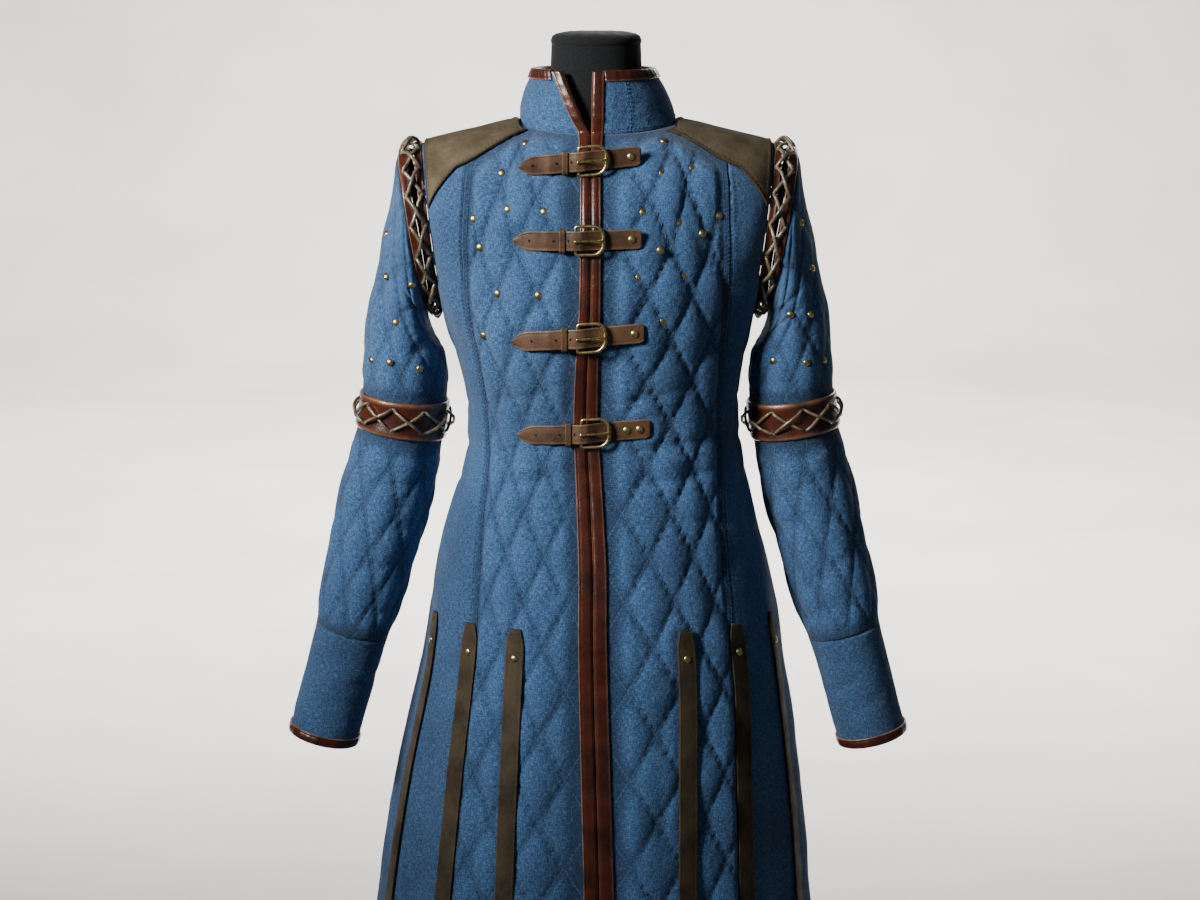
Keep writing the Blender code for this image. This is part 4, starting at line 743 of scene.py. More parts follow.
def bodyPanel(name, node, runs, fine):
    plain = name.startswith("canvasSide")
    rows = np.linspace(0, topRow, topRow * fine["perRow"] + 1)
    outer, inner, base, lattice, puffs, lines = [], [], [], [], [], []
    for side, start, end in runs:
        count = int(abs(end - start) * fine["perColumn"])
        column = np.linspace(start, end, count + 1)[(1 if outer else 0):]
        column, row = np.meshgrid(column, rows, indexing="ij")
        at, up = column.copy(), np.clip(row, 0.0, topRow - 0.007)
        if min(start, end) == 0:
            edge, ahead = torsoPoint(side, 0 * row, up), torsoPoint(side, 0 * row + 1, up)
            room = bindingRoom(unit(ahead - edge), torsoNormal(side, 0 * row, up))
            room = room / np.linalg.norm(ahead - edge, axis=-1)
            at = np.where(column < 1, room + column * (1 - room), column)
        for seam in (frontSeam, backSeam):
            inset = 0.006 if max(start, end) > seam else -0.006
            at = np.where(column == seam, seam + inset, at)
        point, normal = torsoPoint(side, at, up), torsoNormal(side, at, up)
        rise, puff = clothRise(side, at, up, point)
        outer.append(point + normal * rise[..., None])
        inner.append(point - normal * bodyShape["wall"])
        base.append(point)
        puffs.append(puff)
        run = 2 * midBack - column if side < 0 and start > backSeam else column
        seamGap = np.minimum(np.abs(column - frontSeam), np.abs(column - backSeam))
        mirrored = fromMiddle(column)
        sewn = (0.0 if plain else 1.0) * (seamGap > 0.3)
        sewn = sewn * ((mirrored < 2.5) | (row < patchEdgeRow(mirrored) - 0.1))
        lattice.append(np.stack(((run + row) / 2, (run - row) / 2, sewn), -1))
        lines.append(column)
    outer, inner, base = (np.concatenate(part) for part in (outer, inner, base))
    lattice, puffs, lines = (np.concatenate(part) for part in (lattice, puffs, lines))
    middle = (lines[1:, 1:] + lines[:-1, 1:]) / 2
    keep = ~((middle > armFront) & (middle < armBack) & (rows[1:] > underarmRow))
    soft = np.full_like(puffs, plainValleyShade) if plain else puffs
    maps = {"UVMap": threadMap(base), "lattice": lattice}
    return seatCloth(wall(name, outer, inner, blueCanvas, maps, soft, keep=keep), node, base, keep=keep)


bodyFine = {"perColumn": 10, "perRow": 15}
sideFine = {"perColumn": 7, "perRow": 11}
bodyPieces = [
    bodyPanel("canvasFrontRight", "front_right", ((1, 0, 6),), bodyFine),
    bodyPanel("canvasFrontLeft", "front_left", ((-1, 0, 6),), bodyFine),
    bodyPanel("canvasSideRight", "side_right", ((1, 6, 14),), sideFine),
    bodyPanel("canvasSideLeft", "side_left", ((-1, 6, 14),), sideFine),
    bodyPanel("canvasBack", "back", ((1, 14, 20), (-1, 20, 14)), sideFine),
]
print("Body panels made")

# The sleeve's creases by column round the arm (0 outside, 4 front, 8 inside, 12 back) and ring.
creases.update({
    "upperSleeveLeft": (
        (7.6, 4.4, 3.2, 5.2, 7, -2.6), (8.2, 5.2, 3.0, 6.4, 7, -2.4), (7.8, 6.2, 4.0, 7.4, 7, -1.8),
        (8.4, 4.8, 12.6, 5.6, 7, -2.4), (8.2, 5.8, 12.8, 6.9, 7, -1.8), (2.6, 7.9, 6.8, 8.3, 6, -2.2),
        (9.6, 8.1, 13.4, 7.7, 6, -1.9), (1.2, 5.0, 2.2, 7.6, 8, 1.6),
    ),
    "upperSleeveRight": (
        (7.8, 4.2, 3.6, 5.5, 7, -2.6), (8.0, 5.4, 3.4, 6.1, 7, -2.2), (7.6, 6.4, 3.2, 7.6, 7, -2.0),
        (8.2, 4.6, 12.2, 5.9, 7, -2.4), (8.6, 6.0, 13.0, 6.6, 7, -1.8), (3.2, 8.2, 7.4, 7.9, 6, -2.2),
        (9.4, 7.8, 13.0, 8.2, 6, -1.9), (1.6, 4.8, 1.8, 7.2, 8, 1.6),
    ),
    "lowerSleeveLeft": (
        (2.4, 9.9, 7.4, 9.7, 6, -2.4), (8.4, 9.8, 13.6, 10.1, 6, -2.2), (2.0, 10.7, 6.2, 10.3, 6, -1.8),
        (5.2, 11.4, 8.6, 10.9, 7, -1.7), (9.0, 11.2, 12.2, 11.8, 7, -1.6), (2.8, 12.6, 6.8, 12.0, 7, -1.6),
        (3.4, 13.5, 8.0, 13.1, 7, -1.5), (10.0, 13.2, 13.6, 12.7, 7, -1.4),
    ),
    "lowerSleeveRight": (
        (2.2, 9.7, 7.0, 10.0, 6, -2.4), (8.8, 10.0, 13.8, 9.8, 6, -2.2), (3.0, 10.4, 7.2, 10.8, 6, -1.8),
        (4.6, 11.1, 8.2, 11.6, 7, -1.7), (9.4, 11.6, 12.8, 11.1, 7, -1.6), (2.4, 12.2, 6.4, 12.8, 7, -1.6),
        (4.0, 13.2, 8.4, 13.6, 7, -1.5), (10.4, 12.8, 13.8, 13.3, 7, -1.4),
    ),
    "forearmLeft": (
        (2.6, 14.4, 6.8, 14.8, 7, -1.8), (4.0, 15.4, 8.2, 15.0, 7, -1.6), (9.4, 14.8, 13.2, 15.3, 7, -1.5),
        (2.2, 16.0, 5.6, 15.7, 6, -1.2),
    ),
    "forearmRight": (
        (3.0, 14.8, 7.2, 14.4, 7, -1.8), (3.4, 15.1, 7.8, 15.6, 7, -1.6), (9.0, 15.2, 13.0, 14.7, 7, -1.5),
        (2.6, 15.8, 6.0, 16.1, 6, -1.2),
    ),
})


def sleeveRise(side, station, angle):
    column = np.mod(angle, 2 * np.pi) / (2 * np.pi) * 16
    part = "upperSleeve" if station.mean() < 9 else ("lowerSleeve" if station.mean() < 14 else "forearm")
    away = np.minimum.reduce([np.abs(station - stop) for stop in (3.05, 8.5, 9.5, 13.98)])
    band = rising(np.abs(station - 9), 0.42, 0.62)
    free = rising(away, 0.0, 0.45) * band * (1 - rising(station, 16.3, 16.75))
    quilted = free if part != "forearm" else 0.0 * free
    points = ringPoint(side, station, angle)
    puff = diamond(column, station) * quilted
    wave = creased(part + ("Right" if side > 0 else "Left"), column, station)
    wave = wave + 1.2 * mm * cloudy(points, 0.045, 11) + 0.5 * mm * cloudy(points, 0.017, 13)
    wave = wave + 0.35 * mm * puckers(column, station, points, 36, 24, 6, 17) * quilted
    return quilting["sleeveRise"] * puff + wave * free, puff


def sleevePiece(name, node, side, start, end, fine):
    station = np.linspace(start, end, int(round((end - start) * fine)) + 1)
    angle = np.linspace(0, 2 * np.pi, 128, endpoint=False)
    angle, station = np.meshgrid(angle, station, indexing="ij")
    point, radial = ringPoint(side, station, angle), ringRadial(side, station, angle)
    rise, puff = sleeveRise(side, station, angle)
    column = np.linspace(0, 16, 129)[:, None] + 0 * station[0]
    level = station[0] + 0 * column
    sewn = (level < 14) * (np.abs(level - 9) > 0.5) * (np.abs(level - 3) > 0.25) * (np.abs(level - 14) > 0.1)
    maps = {"UVMap": threadMap(point, True),
            "lattice": np.stack(((column + level) / 2, (column - level) / 2, sewn), -1)}
    soft = puff if end <= 14 else np.full_like(puff, plainValleyShade)
    outer, inner = point + radial * rise[..., None], point - radial * bodyShape["wall"]
    seatCloth(wall(name, outer, inner, blueCanvas, maps, soft, closed=True), node, point, True)


for side, end in sides:
    node = end.lower()
    sleevePiece(f"canvasUpperSleeve{end}", f"upper_sleeve_{node}", side, 3.06, 8.993, 16)
    sleevePiece(f"canvasLowerSleeve{end}", f"lower_sleeve_{node}", side, 9.0, 13.995, 16)
    sleevePiece(f"canvasForearm{end}", f"forearm_{node}", side, 14.01, 17.0, 10)
print("Sleeves made")


# The collar runs over columns 0 to 4 in front and 16 to 20 behind, in eight even turns.
def collarColumn(turn):
    return np.where(turn <= neckSide, turn, midBack - 8 + turn)


def collarPoint(side, turn, share):
    column = collarColumn(turn)
    base = topPoint(side, column)
    halfWidth, front, back, height, shift = bodyShape["collarTop"]
    behind = column > armMiddle
    start = np.where(behind, 0.0, bodyShape["corner"][side])
    angle = start + (np.pi / 2 - start) * fromMiddle(column) / neckSide
    depth = np.where(behind, back, -front) * np.cos(angle)
    top = place(shift + side * halfWidth * np.sin(angle), depth, height)
    flat = base * np.array((1.0, 1.0, 0.0))
    swell = (3 * mm * np.sin(np.pi * share))[..., None] * unit(flat)
    return base + (top - base) * share[..., None] + swell


def collarNormal(side, turn, share):
    step = 0.05
    ahead, back = np.minimum(8, turn + step), np.maximum(0, turn - step)
    across = collarPoint(side, ahead, share) - collarPoint(side, back, share)
    up = (collarPoint(side, turn, np.minimum(1, share + step))
          - collarPoint(side, turn, np.maximum(0, share - step)))
    normal = unit(np.cross(across, up)) * side
    sewn = easing(share, 0.35)[..., None]
    return unit(normal * (1 - sewn) + torsoNormal(side, collarColumn(turn), topRow + 0.0 * turn) * sewn)


def collarFrame(side, share):
    none = np.zeros_like(share)
    return edgeFrame(collarPoint(side, none, share), collarPoint(side, none + 1, share),
                     collarNormal(side, none, share))


collarCut = {"around": 17, "up": 20, "sag": 1.0 * mm}


def makeCollar():
    outer, inner, base = [], [], []
    for side in (1, -1):
        turn = np.linspace(0, 8, 8 * collarCut["around"] + 1)
        turn = turn if side > 0 else turn[-2::-1]
        turn, share = np.meshgrid(turn, np.linspace(0.006, 1, collarCut["up"] + 1), indexing="ij")
        edge, ahead = collarPoint(side, 0 * turn, share), collarPoint(side, 0 * turn + 1, share)
        room = bindingRoom(unit(ahead - edge), collarNormal(side, 0 * turn, share)) + 0.15 * mm
        room = room / np.linalg.norm(ahead - edge, axis=-1)
        at = np.where(turn < 1, room + turn * (1 - room), turn)
        point, normal = collarPoint(side, at, share), collarNormal(side, at, share)
        free = rising(share, 0.02, 0.25) * (1 - rising(share, 0.62, 0.76)) * rising(at, 0.45, 0.9)
        sag = collarCut["sag"] * (cloudy(point, 0.03, 19) + 0.4 * cloudy(point, 0.012, 23)) * free
        outer.append(point + normal * sag[..., None])
        inner.append(point - normal * bodyShape["wall"])
        base.append(point)
    outer, inner, base = (np.concatenate(part) for part in (outer, inner, base))
    threads = threadMap(base)
    maps = {"UVMap": threads, "lattice": np.zeros((*threads.shape[:2], 3)) + (0.5, 0.5, 0.0)}
    soft = np.full(outer.shape[:2], plainValleyShade)
    seatCloth(wall("canvasCollar", outer, inner, blueCanvas, maps, soft), "collar", base)


makeCollar()
print("Collar made")


# A solid from rings of points, with flat ends unless its rings close on themselves.
def ringSolid(name, rings, finish, closedRows=False, edge=None):
    rings = np.asarray(rings, float)
    count, around = rings.shape[:2]
    spans = count if closedRows else count - 1
    r, k = (part.ravel() for part in np.meshgrid(np.arange(spans), np.arange(around), indexing="ij"))
    following, beside = (r + 1) % count, (k + 1) % around
    corners = ((r, k), (r, beside), (following, beside), (following, k))
    faces = np.stack([a * around + b for a, b in corners], 1)
    last = (count - 1) * around
    caps = () if closedRows else (tuple(range(around))[::-1], tuple(range(last, last + around)))
    pointData = None
    if edge is not None:
        pointData = {"edge": np.broadcast_to(np.asarray(edge, float), (count, around))}
    return addPiece(name, rings.reshape(-1, 3), faces, finish, pointData, caps=caps)


# A binding folded over an edge, as (along the cloth, outward) with how much of the pale edge colour each
# place takes: wear with a painted highlight on the ridges.
def foldSection(width, rise, under):
    gap, leather = 0.3 * mm, 1.5 * mm
    out, back = rise + gap, -under - gap
    top = out + leather
    leg = ((width, out, 0.9), (width, out + 0.8 * mm, 1.0), (width - 0.5 * mm, top + 0.15 * mm, 1.0),
           (width - 1.3 * mm, top + 0.3 * mm, 0.55), (width - 2.2 * mm, top - 0.35 * mm, 0.0),
           (width - 3.2 * mm, top, 0.0), (width * 0.5 + 1 * mm, top + 0.25 * mm, 0.1),
           (3.4 * mm, top + 0.1 * mm, 0.2))
    middle, tall = (top + back - leather) / 2, (top - back + leather) / 2
    turn = [(1.6 * mm - 3.4 * mm * math.sin(a), middle + tall * math.cos(a), 0.25 + 0.75 * math.sin(a) ** 3)
            for a in np.linspace(0.12, math.pi - 0.12, 13)]
    inside = ((width - 0.4 * mm, back - leather, 0.2), (width, back - leather * 0.5, 0.5), (width, back, 0.2),
              (-gap, back, 0.0), (-gap, out, 0.0))
    section = np.array([*leg, *turn, *inside])
    return section[:, 0], section[:, 1], section[:, 2]


def folded(name, node, frames, widths, finish, slot, rise, under, closedRows=False):
    start, inward, outward = frames
    rings, edgeWearAndPaintedLight = [], None
    for k, width in enumerate(widths):
        u, v, edgeWearAndPaintedLight = foldSection(width, rise, under)
        wave = 0.15 * mm * math.sin(k * 0.9) + 0.12 * mm * math.sin(k * 0.37)
        rings.append(start[k] + np.outer(u, inward[k]) + np.outer(v + wave * (v > 0), outward[k]))
    return seat(ringSolid(name, rings, finish, closedRows, edgeWearAndPaintedLight), slot, node)


bindings = {"rows": (0, 12, 18), "widths": (15, 13, 9), "collar": 11, "cuff": 10, "blend": 14}


def makeBindings():
    rows, shares = np.linspace(0.0, topRow, 265), np.linspace(0, 1, 40)[1:]
    for side, end in sides:
        body, stand = frontFrame(side, rows), collarFrame(side, shares)
        frames = [np.concatenate(pair) for pair in zip(body, stand)]
        lower = np.interp(rows, bindings["rows"], bindings["widths"])
        lower[-bindings["blend"]:] = np.linspace(lower[-1], bindings["collar"], bindings["blend"])
        widths = np.concatenate((lower, np.full(len(shares), float(bindings["collar"])))) * mm
        folded(f"leatherFrontBinding{end}", f"front_binding_{end.lower()}", frames, widths, redLeather,
               "red_brown_leather", 1.5 * mm, bodyShape["wall"] + 0.3 * mm)
        ring = np.linspace(0, 2 * np.pi, 160, endpoint=False)
        edge = ringPoint(side, 17.0 + 0 * ring, ring)
        inward = unit(ringPoint(side, 16.7 + 0 * ring, ring) - edge)
        folded(f"leatherCuffBinding{end}", f"cuff_binding_{end.lower()}",
               (edge, inward, ringRadial(side, 17.0 + 0 * ring, ring)),
               np.full(len(ring), bindings["cuff"] * mm), redLeather, "red_brown_leather",
               0.2 * mm, bodyShape["wall"], True)
    edges, downs, normals = [], [], []
    for side in (1, -1):
        turn = np.linspace(0, 8, 161)
        top, half = 1.0 + 0 * turn, 0.5 + 0 * turn
        frameEdge = collarFrame(side, np.array((1.0,)))[0][0]
        span = np.linalg.norm(collarPoint(side, np.array((1.0,)), np.array((1.0,)))[0] - frameEdge)
        clear = 12.5 * mm / span
        at = clear + turn / 8 * (8 - clear)
        edge = collarPoint(side, at, top)
        down = unit(collarPoint(side, at, half) - edge)
        normal = collarNormal(side, at, top)
        order = slice(None) if side > 0 else slice(-2, None, -1)
        edges.append(edge[order])
        downs.append(down[order])
        normals.append(normal[order])
    frames = [np.concatenate(part) for part in (edges, downs, normals)]
    folded("leatherCollarBinding", "collar_binding", frames,
           np.full(len(frames[0]), bindings["collar"] * mm), redLeather,
           "red_brown_leather", 0.9 * mm, bodyShape["wall"] + 0.6 * mm)


makeBindings()
print("Bindings made")


# A leather ring round the arm between two stations, with thick rolled edges.
def armBand(name, node, side, first, last, low, high, bead, segments=216):
    angle = np.linspace(0, 2 * np.pi, segments, endpoint=False)
    rim = (low, high - 0.5 * mm, high + 0.8 * bead, high + bead, high + 0.2 * bead)
    across = np.array((0.0, 0.0, 0.05, 0.14, 0.24, 0.36, 0.5, 0.64, 0.76, 0.86, 0.95, 1.0, 1.0, 0.7, 0.3))
    lifts = np.array((*rim, high, high, high, *rim[:0:-1], low, low, low))
    # The rolled edges take the red leather's pale edge colour: wear with a painted highlight.
    edgeWearAndPaintedLight = np.array((0.2, 0.7, 0.95, 0.5, 0, 0, 0, 0, 0, 0.5, 0.95, 0.7, 0.2, 0, 0))
    rings = []
    for a in angle:
        sway = 0.02 * math.sin(7 * a + side) + 0.015 * math.sin(17 * a)
        station = first + (last - first) * across + sway * (last - first) * np.sin(np.pi * across)
        lift = lifts + 0.25 * mm * math.sin(11 * a + first) * (lifts > low)
        rings.append(ringPoint(side, station, a + 0 * station, lift))
    piece = ringSolid(name, rings, redLeather, True, edgeWearAndPaintedLight)
    return seat(piece, "red_brown_leather", node)


# A round thong along a path, with a steady way up at each of its points.
def thong(name, path, ups, radius, finish, closed, sides=10, flat=1.0):
    path, ups = np.asarray(path, float), np.asarray(ups, float)
    if closed:
        along = unit(np.roll(path, -1, 0) - np.roll(path, 1, 0))
    else:
        along = unit(np.gradient(path, axis=0))
    beside = unit(np.cross(along, ups))
    up = np.cross(beside, along)
    turn = np.linspace(0, 2 * np.pi, sides, endpoint=False)
    radius = np.broadcast_to(np.asarray(radius, float), (len(path),))[:, None, None]
    ring = np.cos(turn)[None, :, None] * beside[:, None] + flat * np.sin(turn)[None, :, None] * up[:, None]
    return ringSolid(name, path[:, None] + radius * ring, finish, closed)


laces = {"armhole": {"turns": 17, "low": 0.35, "high": 2.65, "radius": 2.0 * mm, "surface": 1.5 * mm},
         "elbow": {"turns": 9, "low": 8.74, "high": 9.26, "radius": 1.7 * mm, "surface": 2.35 * mm},
         "steps": 22}


def makeLace(kind, name, node, side):
    lace = laces[kind]
    step = np.arange(lace["turns"] * 2 * laces["steps"]) / laces["steps"]
    across = np.abs(np.mod(step, 2) - 1)
    angle = 2 * np.pi * step / lace["turns"]
    middle = easing(np.abs(across - 0.5), 0.5)
    hole = easing(np.minimum(across, 1 - across), 0.14)
    lift = lace["surface"] + lace["radius"] + 1.0 * mm - 3.4 * mm * hole
    lift = lift + (step >= lace["turns"]) * (2 * lace["radius"] + 0.6 * mm) * np.minimum(1, 1.3 * middle)
    bow = (across - across ** 2) * np.where(np.mod(np.floor(step), 2) == 0, 1, -1) * 0.08
    station = lace["low"] + (lace["high"] - lace["low"]) * (across + bow)
    path = ringPoint(side, station, angle, lift)
    piece = thong(name, path, ringRadial(side, station, angle), lace["radius"], thongLeather, True)
    return seat(piece, "bronze_thong", node)


# Each band's stations on the arm, then its inner and outer level and its bead in millimetres.
armBands = {"armhole_strip": (0.06, 1.0, -1.5, 1.5, 0.5), "sleeve_strip": (2.0, 3.0, -1.5, 1.5, 0.5),
            "elbow_band": (8.58, 9.42, 0.35, 2.35, 1.1)}

for side, end in sides:
    node = end.lower()
    for kind, (first, last, *levels) in armBands.items():
        name = kind.title().replace("_", "")
        armBand(f"leather{name}{end}", f"{kind}_{node}", side, first, last, *(level * mm for level in levels))
    makeLace("armhole", f"thongArmhole{end}", f"armhole_lace_{node}", side)
    makeLace("elbow", f"thongElbow{end}", f"elbow_lace_{node}", side)
print("Arm leather and laces made")


def makePatch(side, end):
    first, last = patchShape["columns"]
    cellAcross, cellAlong = bodyShape["cell"]
    column, span = np.meshgrid(np.linspace(first, last, 61), np.linspace(1, -1, 97), indexing="ij")
    near = patchColumn(column, span)
    row = patchRow(near, span)
    at = np.where(span >= 0, near, midBack - near)
    point, normal = torsoPoint(side, at, row), torsoNormal(side, at, row)
    inEdge = (1 - np.abs(span)) * (topRow - patchEdgeRow(near)) * cellAlong * 0.7
    away = np.minimum.reduce([inEdge, (column - first) * cellAcross, (last - column) * cellAcross])
    (bead, beadAt), (groove, grooveAt) = patchShape["bead"], patchShape["groove"]
    lift = patchShape["over"] + bead * easing(np.abs(away - beadAt), 1.5)
    lift = lift - groove * easing(np.abs(away - grooveAt), 1.1) - patchShape["rounded"] * (away < 0.01)
    lift = lift + patchShape["limp"] * cloudy(point, 0.022, 29) * rising(away, 3, 9)
    # The rim takes the olive leather's near-black edge colour, fading over its outer 3.6 mm: a painted
    # shadow.
    piece = wall(f"leatherPatch{end}", point + normal * lift[..., None], point + normal * patchShape["under"],
                 oliveLeather, puff=easing(away, 3.6), label="edge")
    seat(piece, "olive_leather", f"shoulder_patch_{end.lower()}")


for side, end in sides:
    makePatch(side, end)
print("Shoulder patches made")


# The made cloth, to lay straps and strips on.
def clothTree(pieces):
    points, faces = [], []
    for piece in pieces:
        start = len(points)
        points += [v.co.copy() for v in piece.data.vertices]
        faces += [tuple(start + v for v in face.vertices) for face in piece.data.polygons]
    return BVHTree.FromPolygons(points, faces)


tree = clothTree(bodyPieces + [bpy.data.objects["leatherFrontBindingRight"],
                               bpy.data.objects["leatherFrontBindingLeft"]])


def frontDepth(x, height):
    hit, _, _, distance = tree.ray_cast(Vector((x, -1.0, height)), Vector((0, 1, 0)))
    return 1.0 - distance


def tautOver(places, depths):
    kept = []
    for x, d in zip(places, depths):
        while len(kept) > 1:
            (x0, d0), (x1, d1) = kept[-2], kept[-1]
            if (d1 - d0) * (x - x0) > (d - d0) * (x1 - x0):
                break
            kept.pop()
        kept.append((x, d))
    return np.interp(places, [x for x, _ in kept], [d for _, d in kept])


strapSize = {"half": 10.5 * mm, "thick": 2.4 * mm, "step": 2.0 * mm, "wire": 1.8 * mm, "looks": 3 * mm,
             "buckle": (33 * mm, 34 * mm), "bend": 11 * mm, "keeper": 6 * mm, "keeperAt": -29 * mm,
             "holes": (-64, -38, -22), "hole": 1.5 * mm, "rivet": 4.4 * mm, "chape": (-46, -19, 16),
             "tip": 21 * mm, "end": 4.5 * mm}


# A strap's cross-section: height from -1 to 1, share of its thickness, and how much of the lighter edge
# colour each place takes (a painted highlight on the skirt strips), all round.
strapSection = np.array((
    (-1.0, 0.25, 0.7), (-1.0, 0.7, 0.9), (-0.96, 0.93, 1.0), (-0.88, 1.0, 0.6), (-0.8, 0.98, 0.0),
    (-0.74, 0.93, 0.0), (-0.66, 1.0, 0.0), (-0.3, 1.06, 0.0), (0.0, 1.08, 0.0), (0.3, 1.06, 0.0),
    (0.66, 1.0, 0.0), (0.74, 0.93, 0.0), (0.8, 0.98, 0.0), (0.88, 1.0, 0.6), (0.96, 0.93, 1.0),
    (1.0, 0.7, 0.9), (1.0, 0.25, 0.7), (0.95, 0.0, 0.2), (-0.95, 0.0, 0.2)))


def ribbon(name, node, places, halves, backs, thick, middleAt):
    rings = []
    for x, half, back in zip(places, halves, backs):
        rings.append([(x, -back - thick * share, middleAt(x) + half * up) for up, share, _ in strapSection])
    return seat(ringSolid(name, rings, strapLeather, edge=strapSection[:, 2]), "strap_leather", node)


rivetSpots, holeSpots, stitchRuns, brownRuns, studSpots = [], [], [], [], []


def makeFastening(number, strap):
    tip, end, buckle = strap["tip"], strap["end"], strap["buckle"]
    xs = np.linspace(tip, end, int((end - tip) / strapSize["looks"]))
    middles = strap["height"] + strap["slope"] * (xs - buckle)
    looks = np.linspace(-1, 1, 7) * strapSize["half"]
    bed = tautOver(xs, [max(frontDepth(x, z + dz) for dz in looks) for x, z in zip(xs, middles)])

    def bedAt(x):
        return float(np.interp(x, xs, bed)) + 0.4 * mm

    def middleAt(x):
        return strap["height"] + strap["slope"] * (x - buckle)

    def over(x):
        bar = 2.5 * mm + 2 * strapSize["wire"] + 0.6 * mm
        stops, lifts = (-54, -46, -25, -17, -9, 5), (0.0, 2.5 * mm, 2.6 * mm, bar, bar, 0.0)
        return float(np.interp((x - buckle) / mm, stops, lifts))

    thick = strapSize["thick"]
    places = np.linspace(tip, end, int((end - tip) / strapSize["step"]))
    lifts = np.array([bedAt(x) + over(x) for x in places])
    lifts = np.maximum(lifts, np.convolve(np.pad(lifts, 3, "edge"), np.ones(7) / 7, "valid"))
    tipShape = np.sin(np.clip((places - tip) / strapSize["tip"], 0, 1) * np.pi / 2) ** 0.8
    endShape = np.clip((end - places) / strapSize["end"], 0, 1) ** 0.5 * 0.35 + 0.65
    halves = strapSize["half"] * np.maximum(0.05, tipShape) * endShape
    ribbon(f"leatherStrap{number}", f"strap_{number}", places, halves, lifts, thick, middleAt)
    chape = buckle + np.linspace(*strapSize["chape"]) * mm
    halves = strapSize["half"] * 0.9 * np.minimum(1, 0.66 + np.arange(len(chape)) * 0.1)
    ribbon(f"leatherChape{number}", f"chape_{number}", chape, halves, [bedAt(x) for x in chape],
           2 * mm, middleAt)

    def onTop(x, sunk, size):
        lift = float(np.interp(x, places, lifts)) + thick * 1.08
        return (x, -lift - sunk, middleAt(x)), (0, -1, 0), size

    for offset in strapSize["holes"]:
        if buckle + offset * mm > tip + 12 * mm:
            holeSpots.append(onTop(buckle + offset * mm, 0.12 * mm, strapSize["hole"]))
    for offset in ((-11,) if number < 4 else (-12, -26)):
        rivetSpots.append(onTop(end + offset * mm, 0.0, strapSize["rivet"]))
    makeBuckle(number, buckle, bedAt, over, middleAt)
    makeKeeper(number, buckle, bedAt, over, middleAt)


# A round-ended brass frame: its bar lies under the strap, its end over it, and the tongue between.
def makeBuckle(number, buckle, bedAt, over, middleAt):
    wide, tall = strapSize["buckle"]
    wire, bend = strapSize["wire"], strapSize["bend"]
    left, right = buckle - wide / 2 + wire, buckle + wide / 2 - wire
    half, corner = tall / 2 - wire, right - bend
    spread = half - bend
    arcs = [(left + 2 * mm, -half), (left + 0.5 * mm, -half + 0.6 * mm), (left, -half + 2 * mm)]
    arcs += [(left, z * half) for z in np.linspace(-0.8, 0.8, 9)]
    arcs += [(left, half - 2 * mm), (left + 0.5 * mm, half - 0.6 * mm), (left + 2 * mm, half)]
    arcs += [(x, half) for x in np.linspace(left + 5 * mm, corner - 2 * mm, 5)]
    quarter = [(bend * math.sin(a), bend * math.cos(a)) for a in np.linspace(0, math.pi / 2, 10)]
    arcs += [(corner + x, spread + z) for x, z in quarter]
    arcs += [(corner + z, -spread - x) for x, z in quarter]
    arcs += [(x, -half) for x in np.linspace(corner - 2 * mm, left + 5 * mm, 5)]
    under = max(bedAt(x) for x in (left, buckle, right))
    barDepth = bedAt(left) + 2.3 * mm + wire
    endDepth = under + strapSize["thick"] + 0.6 * mm + wire + 1.2 * mm
    path = []
    for x, z in arcs:
        share = (x - left) / (right - left)
        path.append((x, -(barDepth + (endDepth - barDepth) * share), middleAt(x) + z))
    ups = np.tile((0.0, -1.0, 0.0), (len(path), 1))
    swell = [wire * (1.0 + 0.12 * rising((x - corner) / bend, 0, 1)) for x, _ in arcs]
    rim = thong(f"brassBuckle{number}", path, ups, swell, antiqueBrass, True, 14)
    top = bedAt(left) + over(left) + strapSize["thick"] * 1.1 + 1.7 * mm
    reach = np.linspace(0, 1, 24)
    xs = left - 1.5 * mm + (right + 1.6 * mm - left + 1.5 * mm) * reach
    depth = top + (endDepth + wire + 1.0 * mm - top) * reach + 0.8 * mm * np.sin(np.pi * reach)
    depth[-3:] -= np.array((0.2, 0.7, 1.6)) * mm
    path = np.stack((xs, -depth, [middleAt(x) for x in xs]), 1)
    radius = np.interp(reach, (0, 0.1, 0.9, 1), (2.0, 1.5, 1.2, 0.7)) * mm
    tongue = thong(f"brassTongue{number}", path, np.tile((0.0, -1.0, 0.0), (24, 1)), radius, antiqueBrass,
                   False, 12)
    for piece in (rim, tongue):
        seat(piece, "antique_brass", f"buckle_{number}")


